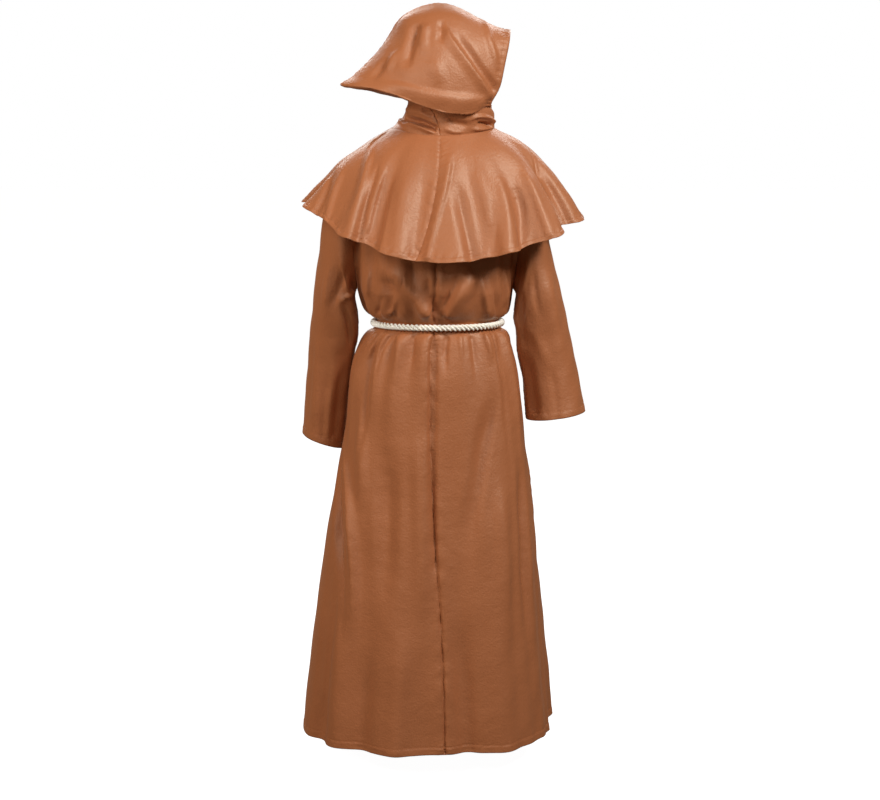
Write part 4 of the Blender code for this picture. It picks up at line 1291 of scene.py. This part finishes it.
@dataclass
class Studio:
    """The pale floor, soft lights and the camera at the photograph's angle."""

    floor: float = -1.455
    camera_at: tuple[float, float, float] = (0.0, -4.0, 0.05)
    pitch: float = 9.34
    lens: float = 72.0
    sensor: float = 36.0
    room_light: tuple[float, float, float] = (0.118, 0.086, 0.060)

    LAMPS = (
        Lamp("key", (2.0, -1.9, 1.7), 0.9, 102.0),
        Lamp("side", (-2.7, -1.2, 0.7), 1.2, 50.0, False),
        Lamp("fill", (-0.9, -2.8, 1.1), 1.0, 27.0),
        Lamp("front_left", (-1.3, 3.0, 2.0), 1.4, 60.0),
        Lamp("front_right", (1.4, 2.9, 2.1), 1.4, 54.0),
    )
    AIM = (0.0, 0.0, -0.35)

    def build(self) -> None:
        """Builds the camera, the floor, the lights and the world."""
        self.place_camera()
        self.lay_floor()
        for lamp in self.LAMPS:
            self.hang(lamp)
        self.fill_room()
        bpy.context.scene.view_settings.view_transform = "Standard"

    def place_camera(self) -> None:
        """Places the camera where the photograph was taken from."""
        data = bpy.data.cameras.new("photo_camera")
        data.lens, data.sensor_width = self.lens, self.sensor
        camera = bpy.data.objects.new("photo_camera", data)
        camera.location = self.camera_at
        camera.rotation_euler = (math.radians(90.0 - self.pitch), 0.0, 0.0)
        bpy.context.scene.collection.objects.link(camera)
        bpy.context.scene.camera = camera

    def lay_floor(self) -> None:
        """Lays the white floor, which throws no light back on the costume."""
        bpy.ops.mesh.primitive_plane_add(size=60.0, location=(0.0, 0.0, self.floor))
        ground = bpy.context.object
        ground.name = "floor"
        ground.data.materials.append(FloorFinish().make())
        ground.visible_diffuse = False
        ground.visible_glossy = False

    def hang(self, lamp: Lamp) -> None:
        """Hangs one soft light, turned to the costume."""
        data = bpy.data.lights.new(lamp.name, "AREA")
        data.size, data.energy = lamp.side, lamp.power
        light = bpy.data.objects.new(lamp.name, data)
        light.location = lamp.place
        light.visible_glossy = lamp.mirrored
        aim = Vector(self.AIM) - Vector(lamp.place)
        light.rotation_euler = aim.to_track_quat("-Z", "Y").to_euler()
        bpy.context.scene.collection.objects.link(light)

    def fill_room(self) -> None:
        """Makes the room white to look at, with a softer light of its own."""
        world = bpy.data.worlds.new("studio")
        world.use_nodes = True
        graph = Graph(world.node_tree)
        seen = graph.signal("ShaderNodeLightPath", output="Is Camera Ray")
        light = graph.blend(seen, self.room_light, (1.0, 1.0, 1.0))
        room = graph.signal("ShaderNodeBackground", {}, {"Color": light, "Strength": 1.0})
        graph.node("ShaderNodeOutputWorld", {}, {"Surface": room})
        bpy.context.scene.world = world


CAPE_CREASES: tuple[Crease, ...] = (
    Crease(((-0.143, -0.017), (-0.169, -0.115), (-0.197, -0.228)), 0.018, 0.0088, 0.3, 0.2, 0.30, 0.0),
    Crease(((-0.126, -0.044), (-0.156, -0.140), (-0.180, -0.235)), 0.010, -0.0081, 0.2, 0.4, 0.45, 0.0),
    Crease(((-0.112, -0.049), (-0.142, -0.134), (-0.160, -0.222)), 0.010, 0.0057, 0.0, 0.3, 0.40, 0.15),
    Crease(((-0.100, -0.070), (-0.122, -0.160), (-0.138, -0.245)), 0.022, -0.0061, 0.3, 0.0, 0.35, 0.0),
    Crease(((-0.107, 0.011), (-0.150, -0.017), (-0.166, -0.046)), 0.008, 0.0030, 0.0, 0.5, 0.30, 0.30),
    Crease(((-0.224, -0.071), (-0.255, -0.135), (-0.276, -0.175)), 0.015, -0.0061, 0.0, 0.2, 0.40, 0.0),
    Crease(((-0.205, -0.060), (-0.235, -0.130), (-0.252, -0.190)), 0.014, 0.0047, 0.0, 0.2, 0.40, 0.0),
    Crease(((-0.066, -0.057), (-0.082, -0.142), (-0.092, -0.250)), 0.028, 0.0054, 0.0, 0.0, 0.40, 0.0),
    Crease(((-0.024, -0.060), (-0.040, -0.150), (-0.055, -0.255)), 0.020, -0.0043, 0.0, 0.1, 0.40, 0.0),
    Crease(((0.024, -0.035), (0.012, -0.110), (-0.008, -0.190), (-0.024, -0.262)), 0.015, 0.0068,
           0.3, 0.3, 0.20, 0.0),
    Crease(((0.034, -0.093), (0.056, -0.182), (0.072, -0.262)), 0.026, -0.0120, 0.2, 0.2, 0.40, 0.0),
    Crease(((0.068, -0.060), (0.096, -0.140), (0.116, -0.220)), 0.022, 0.0054, 0.0, 0.1, 0.40, 0.30),
    Crease(((0.108, -0.130), (0.115, -0.190), (0.117, -0.262)), 0.018, -0.0045, 0.0, 0.3, 0.45, 0.0),
    Crease(((0.128, -0.080), (0.146, -0.165), (0.150, -0.250)), 0.020, 0.0057, 0.0, 0.1, 0.40, 0.0),
    Crease(((0.160, -0.100), (0.178, -0.160), (0.180, -0.240)), 0.022, -0.0088, 0.2, 0.2, 0.40, 0.0),
    Crease(((0.172, -0.060), (0.210, -0.135), (0.240, -0.215)), 0.020, 0.0081, -0.2, 0.2, 0.35, 0.0),
    Crease(((0.196, -0.030), (0.214, -0.076), (0.230, -0.125)), 0.009, -0.0043, 0.0, 0.6, 0.30, 0.40),
    Crease(((0.222, -0.080), (0.262, -0.150), (0.290, -0.200)), 0.014, -0.0054, 0.0, 0.2, 0.40, 0.0),
)
CAPE_FRONT_CREASES: tuple[Crease, ...] = (
    Crease(((-0.180, -0.060), (-0.215, -0.150), (-0.240, -0.225)), 0.020, 0.0081, 0.2, 0.2, 0.35, 0.0),
    Crease(((-0.130, -0.075), (-0.160, -0.170), (-0.178, -0.255)), 0.018, -0.0074, 0.2, 0.3, 0.40, 0.0),
    Crease(((-0.095, -0.070), (-0.118, -0.170), (-0.128, -0.265)), 0.022, 0.0061, 0.0, 0.1, 0.35, 0.0),
    Crease(((-0.050, -0.100), (-0.064, -0.190), (-0.072, -0.285)), 0.020, -0.0068, -0.2, 0.2, 0.40, 0.0),
    Crease(((0.045, -0.080), (0.055, -0.180), (0.062, -0.285)), 0.022, 0.0061, 0.0, 0.2, 0.30, 0.0),
    Crease(((0.082, -0.110), (0.100, -0.190), (0.108, -0.270)), 0.016, -0.0074, 0.0, 0.3, 0.45, 0.0),
    Crease(((0.120, -0.060), (0.152, -0.150), (0.170, -0.250)), 0.022, 0.0068, 0.2, 0.1, 0.35, 0.0),
    Crease(((0.170, -0.080), (0.205, -0.150), (0.225, -0.230)), 0.018, -0.0081, 0.0, 0.2, 0.40, 0.0),
)
UPPER_CREASES: tuple[Crease, ...] = (
    Crease(((-0.140, -0.290), (-0.104, -0.300), (-0.066, -0.322)), 0.038, 0.0220, -0.2, 0.0, 0.40, 0.40),
    Crease(((-0.150, -0.330), (-0.110, -0.340), (-0.074, -0.345)), 0.018, -0.0085, 0.0, 0.1, 0.45, 0.45),
    Crease(((-0.154, -0.296), (-0.162, -0.330), (-0.158, -0.370)), 0.010, 0.0068, 0.0, 0.4, 0.35, 0.40),
    Crease(((-0.092, -0.300), (-0.054, -0.360), (-0.018, -0.403)), 0.026, 0.0150, 0.2, 0.2, 0.30, 0.15),
    Crease(((-0.093, -0.352), (-0.102, -0.384), (-0.125, -0.400)), 0.010, 0.0085, 0.0, 0.4, 0.35, 0.30),
    Crease(((-0.040, -0.300), (-0.024, -0.350), (-0.004, -0.406)), 0.022, -0.0120, 0.0, 0.2, 0.35, 0.10),
    Crease(((-0.060, -0.292), (0.004, -0.300), (0.050, -0.292)), 0.016, -0.0068, 0.0, 0.1, 0.40, 0.40),
    Crease(((0.080, -0.285), (0.046, -0.345), (0.010, -0.405)), 0.027, 0.0150, -0.2, 0.2, 0.30, 0.10),
    Crease(((0.052, -0.292), (0.022, -0.345), (0.000, -0.395)), 0.009, -0.0076, 0.0, 0.5, 0.35, 0.20),
    Crease(((0.084, -0.300), (0.105, -0.372), (0.107, -0.408)), 0.012, 0.0093, 0.2, 0.3, 0.35, 0.20),
    Crease(((0.112, -0.300), (0.126, -0.360), (0.124, -0.405)), 0.013, -0.0093, 0.0, 0.3, 0.35, 0.30),
    Crease(((0.140, -0.290), (0.150, -0.345), (0.140, -0.390)), 0.013, 0.0085, 0.0, 0.2, 0.35, 0.35),
    Crease(((-0.120, -0.350), (-0.136, -0.380), (-0.140, -0.405)), 0.009, -0.0059, 0.0, 0.4, 0.35, 0.20),
)
SKIRT_CREASES: tuple[Crease, ...] = (
    Crease(((-0.118, -0.440), (-0.150, -0.476), (-0.176, -0.530)), 0.012, 0.0086, 0.2, 0.4, 0.10, 0.60),
    Crease(((-0.104, -0.440), (-0.132, -0.480), (-0.150, -0.560)), 0.010, -0.0070, 0.0, 0.4, 0.10, 0.60),
    Crease(((-0.134, -0.440), (-0.164, -0.470), (-0.186, -0.512)), 0.008, -0.0055, 0.0, 0.5, 0.10, 0.60),
    Crease(((-0.086, -0.440), (-0.094, -0.490), (-0.100, -0.570)), 0.014, 0.0046, 0.0, 0.2, 0.10, 0.70),
    Crease(((-0.058, -0.440), (-0.062, -0.480), (-0.066, -0.530)), 0.009, -0.0046, 0.0, 0.4, 0.10, 0.70),
    Crease(((0.016, -0.442), (0.014, -0.480), (0.012, -0.545)), 0.010, -0.0065, 0.2, 0.4, 0.10, 0.60),
    Crease(((0.044, -0.442), (0.048, -0.480), (0.050, -0.520)), 0.008, 0.0046, 0.0, 0.4, 0.10, 0.70),
    Crease(((0.068, -0.442), (0.076, -0.490), (0.082, -0.560)), 0.012, -0.0050, 0.0, 0.3, 0.10, 0.70),
    Crease(((0.098, -0.440), (0.110, -0.470), (0.118, -0.520)), 0.010, 0.0070, 0.0, 0.4, 0.10, 0.60),
    Crease(((0.112, -0.440), (0.128, -0.480), (0.140, -0.560)), 0.009, -0.0070, 0.0, 0.4, 0.10, 0.60),
    Crease(((0.112, -0.523), (0.119, -0.592), (0.101, -0.676), (0.088, -0.760), (0.074, -0.860),
            (0.063, -1.019)), 0.030, -0.0118, 0.2, 0.1, 0.30, 0.50),
    Crease(((-0.248, -0.690), (-0.234, -0.850), (-0.224, -1.020), (-0.222, -1.180)), 0.020, -0.0199,
           0.2, 0.2, 0.30, 0.50),
    Crease(((-0.222, -0.670), (-0.207, -0.813), (-0.197, -1.004), (-0.196, -1.180)), 0.018, 0.0145,
           -0.2, 0.2, 0.30, 0.50),
    Crease(((-0.119, -0.660), (-0.119, -0.860), (-0.121, -1.120)), 0.040, -0.0145, 0.0, 0.0, 0.40, 0.50),
    Crease(((-0.048, -0.600), (-0.044, -0.900), (-0.048, -1.220)), 0.030, 0.0090, 0.0, 0.0, 0.35, 0.50),
    Crease(((-0.011, -0.445), (-0.013, -0.620), (-0.014, -0.880), (-0.008, -1.200)), 0.017, -0.0095,
           0.3, 0.2, 0.04, 0.60),
    Crease(((0.132, -0.720), (0.146, -0.951), (0.156, -1.200)), 0.032, 0.0109, 0.0, 0.0, 0.35, 0.50),
    Crease(((0.180, -0.690), (0.190, -0.916), (0.202, -1.180)), 0.024, -0.0126, 0.0, 0.1, 0.35, 0.50),
    Crease(((0.204, -0.700), (0.212, -0.860), (0.220, -1.040)), 0.010, 0.0060, 0.0, 0.5, 0.30, 0.40),
    Crease(((-0.170, -0.560), (-0.180, -0.700), (-0.170, -0.860)), 0.026, 0.0090, 0.0, 0.1, 0.40, 0.50),
    Crease(((-0.080, -1.060), (-0.090, -1.200), (-0.100, -1.380)), 0.034, 0.0065, 0.0, 0.1, 0.50, 0.0),
    Crease(((0.040, -1.080), (0.050, -1.220), (0.062, -1.380)), 0.032, -0.0060, 0.0, 0.1, 0.50, 0.0),
    Crease(((-0.160, -1.140), (-0.168, -1.260), (-0.180, -1.380)), 0.030, -0.0065, 0.0, 0.1, 0.50, 0.0),
)
SKIRT_SIDE_CREASES: tuple[Crease, ...] = (
    Crease(((-0.040, -0.450), (-0.052, -0.600), (-0.070, -0.800)), 0.014, 0.006, 0.0, 0.3, 0.10, 0.60),
    Crease(((0.030, -0.450), (0.038, -0.560), (0.050, -0.700)), 0.012, -0.006, 0.0, 0.3, 0.10, 0.60),
    Crease(((0.062, -0.460), (0.080, -0.620), (0.092, -0.850)), 0.018, 0.008, 0.0, 0.2, 0.10, 0.60),
    Crease(((-0.075, -0.470), (-0.090, -0.600), (-0.104, -0.820)), 0.016, -0.007, 0.0, 0.2, 0.10, 0.60),
    Crease(((0.050, -0.850), (0.062, -1.000), (0.072, -1.300)), 0.028, -0.009, 0.0, 0.1, 0.40, 0.30),
    Crease(((0.095, -0.800), (0.110, -1.000), (0.122, -1.300)), 0.026, 0.009, 0.0, 0.1, 0.40, 0.30),
    Crease(((-0.070, -0.850), (-0.086, -1.050), (-0.096, -1.350)), 0.026, 0.008, 0.0, 0.1, 0.40, 0.20),
)
HOOD_CREASES: tuple[Crease, ...] = (
    Crease(((-0.046, 0.238), (-0.059, 0.197), (-0.069, 0.152), (-0.074, 0.132)), 0.019, -0.0105,
           0.2, 0.3, 0.20, 0.35),
    Crease(((-0.030, 0.243), (-0.036, 0.212), (-0.038, 0.165)), 0.018, 0.0060, 0.0, 0.0, 0.25, 0.45),
    Crease(((-0.116, 0.165), (-0.131, 0.141), (-0.155, 0.115)), 0.018, -0.0060, 0.0, 0.2, 0.35, 0.35),
    Crease(((-0.090, 0.185), (-0.105, 0.160), (-0.120, 0.130)), 0.018, 0.0045, 0.0, 0.2, 0.35, 0.35),
    Crease(((0.001, 0.247), (0.005, 0.221), (-0.002, 0.190)), 0.014, -0.0065, 0.0, 0.4, 0.30, 0.45),
    Crease(((0.011, 0.240), (0.020, 0.212), (0.039, 0.184), (0.065, 0.148), (0.094, 0.112), (0.117, 0.076)),
           0.015, 0.0074, 0.6, 0.35, 0.15, 0.10),
    Crease(((0.030, 0.232), (0.042, 0.206), (0.060, 0.178), (0.084, 0.144), (0.108, 0.112), (0.126, 0.086)),
           0.018, -0.0088, 0.0, 0.2, 0.30, 0.10),
    Crease(((0.090, 0.258), (0.108, 0.210), (0.120, 0.170), (0.128, 0.122)), 0.014, 0.0060,
           0.0, 0.2, 0.35, 0.35),
    Crease(((-0.150, 0.108), (-0.087, 0.100), (-0.017, 0.086), (0.052, 0.074), (0.119, 0.074)),
           0.024, 0.0060, 0.4, 0.0, 0.25, 0.25),
    Crease(((-0.020, 0.170), (-0.005, 0.130), (0.004, 0.095)), 0.026, 0.0045, 0.0, 0.1, 0.45, 0.45),
)
COLLAR_CREASES: tuple[Crease, ...] = (
    Crease(((-0.078, 0.036), (-0.040, 0.026), (-0.004, 0.010)), 0.0110, -0.0200, 0.3, 0.4, 0.25, 0.06),
    Crease(((-0.078, 0.022), (-0.040, 0.012), (-0.008, -0.001)), 0.0090, 0.0085, 0.0, 0.3, 0.25, 0.20),
    Crease(((-0.080, 0.052), (-0.044, 0.046), (-0.006, 0.032)), 0.0120, 0.0050, 0.0, 0.0, 0.25, 0.30),
    Crease(((0.078, 0.022), (0.100, 0.020), (0.116, 0.016)), 0.0080, -0.0120, 0.0, 0.5, 0.30, 0.10),
    Crease(((0.060, 0.024), (0.082, 0.036), (0.108, 0.034), (0.124, 0.022)), 0.0080, 0.0065,
           0.0, 0.4, 0.25, 0.15),
    Crease(((0.060, 0.010), (0.090, 0.008), (0.122, 0.006)), 0.0080, 0.0050, 0.0, 0.3, 0.30, 0.15),
    Crease(((0.010, 0.030), (0.040, 0.022), (0.068, 0.018)), 0.0120, -0.0050, 0.0, 0.2, 0.35, 0.30),
    Crease(((0.006, 0.014), (0.030, 0.004), (0.056, 0.000)), 0.0090, 0.0045, 0.0, 0.3, 0.30, 0.30),
    Crease(((-0.110, 0.029), (-0.103, 0.040), (-0.087, 0.026), (-0.062, 0.004)), 0.0080, 0.0060,
           0.0, 0.4, 0.20, 0.30),
    Crease(((-0.040, 0.060), (-0.030, 0.048), (-0.008, 0.042)), 0.0100, -0.0050, 0.0, 0.2, 0.35, 0.35),
)
SLEEVE_CREASES: dict[Hand, tuple[Crease, ...]] = {
    Hand.LEFT: (
        Crease(((-0.205, -0.290), (-0.228, -0.348), (-0.249, -0.400)), 0.016, -0.0059, 0.2, 0.2, 0.30, 0.40),
        Crease(((-0.196, -0.350), (-0.214, -0.366), (-0.238, -0.380)), 0.009, 0.0090, 0.0, 0.4, 0.20, 0.40),
        Crease(((-0.222, -0.376), (-0.206, -0.422), (-0.204, -0.490)), 0.012, -0.0108, 0.0, 0.3, 0.35, 0.35),
        Crease(((-0.240, -0.270), (-0.254, -0.340), (-0.266, -0.430)), 0.018, 0.0045, 0.0, 0.1, 0.35, 0.40),
        Crease(((-0.275, -0.430), (-0.286, -0.563), (-0.298, -0.690)), 0.020, 0.0050, 0.0, 0.1, 0.35, 0.20),
        Crease(((-0.222, -0.500), (-0.234, -0.600), (-0.246, -0.710)), 0.020, -0.0059, 0.0, 0.1, 0.40, 0.10),
        Crease(((-0.254, -0.500), (-0.264, -0.600), (-0.276, -0.715)), 0.014, -0.0035, 0.0, 0.1, 0.40, 0.10),
    ),
    Hand.RIGHT: (
        Crease(((0.230, -0.290), (0.256, -0.395), (0.292, -0.557)), 0.030, 0.0045, 0.0, 0.1, 0.30, 0.40),
        Crease(((0.184, -0.330), (0.182, -0.400), (0.194, -0.500)), 0.014, -0.0059, 0.0, 0.2, 0.30, 0.40),
        Crease(((0.200, -0.430), (0.226, -0.476), (0.248, -0.530)), 0.020, 0.0030, 0.0, 0.2, 0.30, 0.40),
        Crease(((0.194, -0.480), (0.206, -0.560), (0.216, -0.640)), 0.028, -0.0085, 0.0, 0.1, 0.35, 0.10),
        Crease(((0.252, -0.520), (0.262, -0.580), (0.270, -0.645)), 0.014, -0.0035, 0.0, 0.2, 0.40, 0.0),
        Crease(((0.212, -0.290), (0.214, -0.350), (0.226, -0.420)), 0.012, -0.0035, 0.0, 0.2, 0.35, 0.40),
    ),
}


class Cut(NamedTuple):
    """The flat size that a panel was cut to, and its area."""

    width: float
    length: float
    area: float


def main() -> None:
    """Builds the costume's looks in order."""
    satin, cord = SatinFinish().make(), CordFinish().make()
    Studio().build()
    cape = Cape()
    robe = Robe(cape)
    Belt(robe).build(cord)
    garments = [robe, *(Sleeve(hand, robe) for hand in Hand), cape, Hood(cape)]
    for garment in garments:
        for name, sewn in garment.build(satin).items():
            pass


if __name__ == "__main__":
    logging.basicConfig(level=logging.INFO, format="%(message)s")
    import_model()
    main()
    bpy.context.view_layer.update()
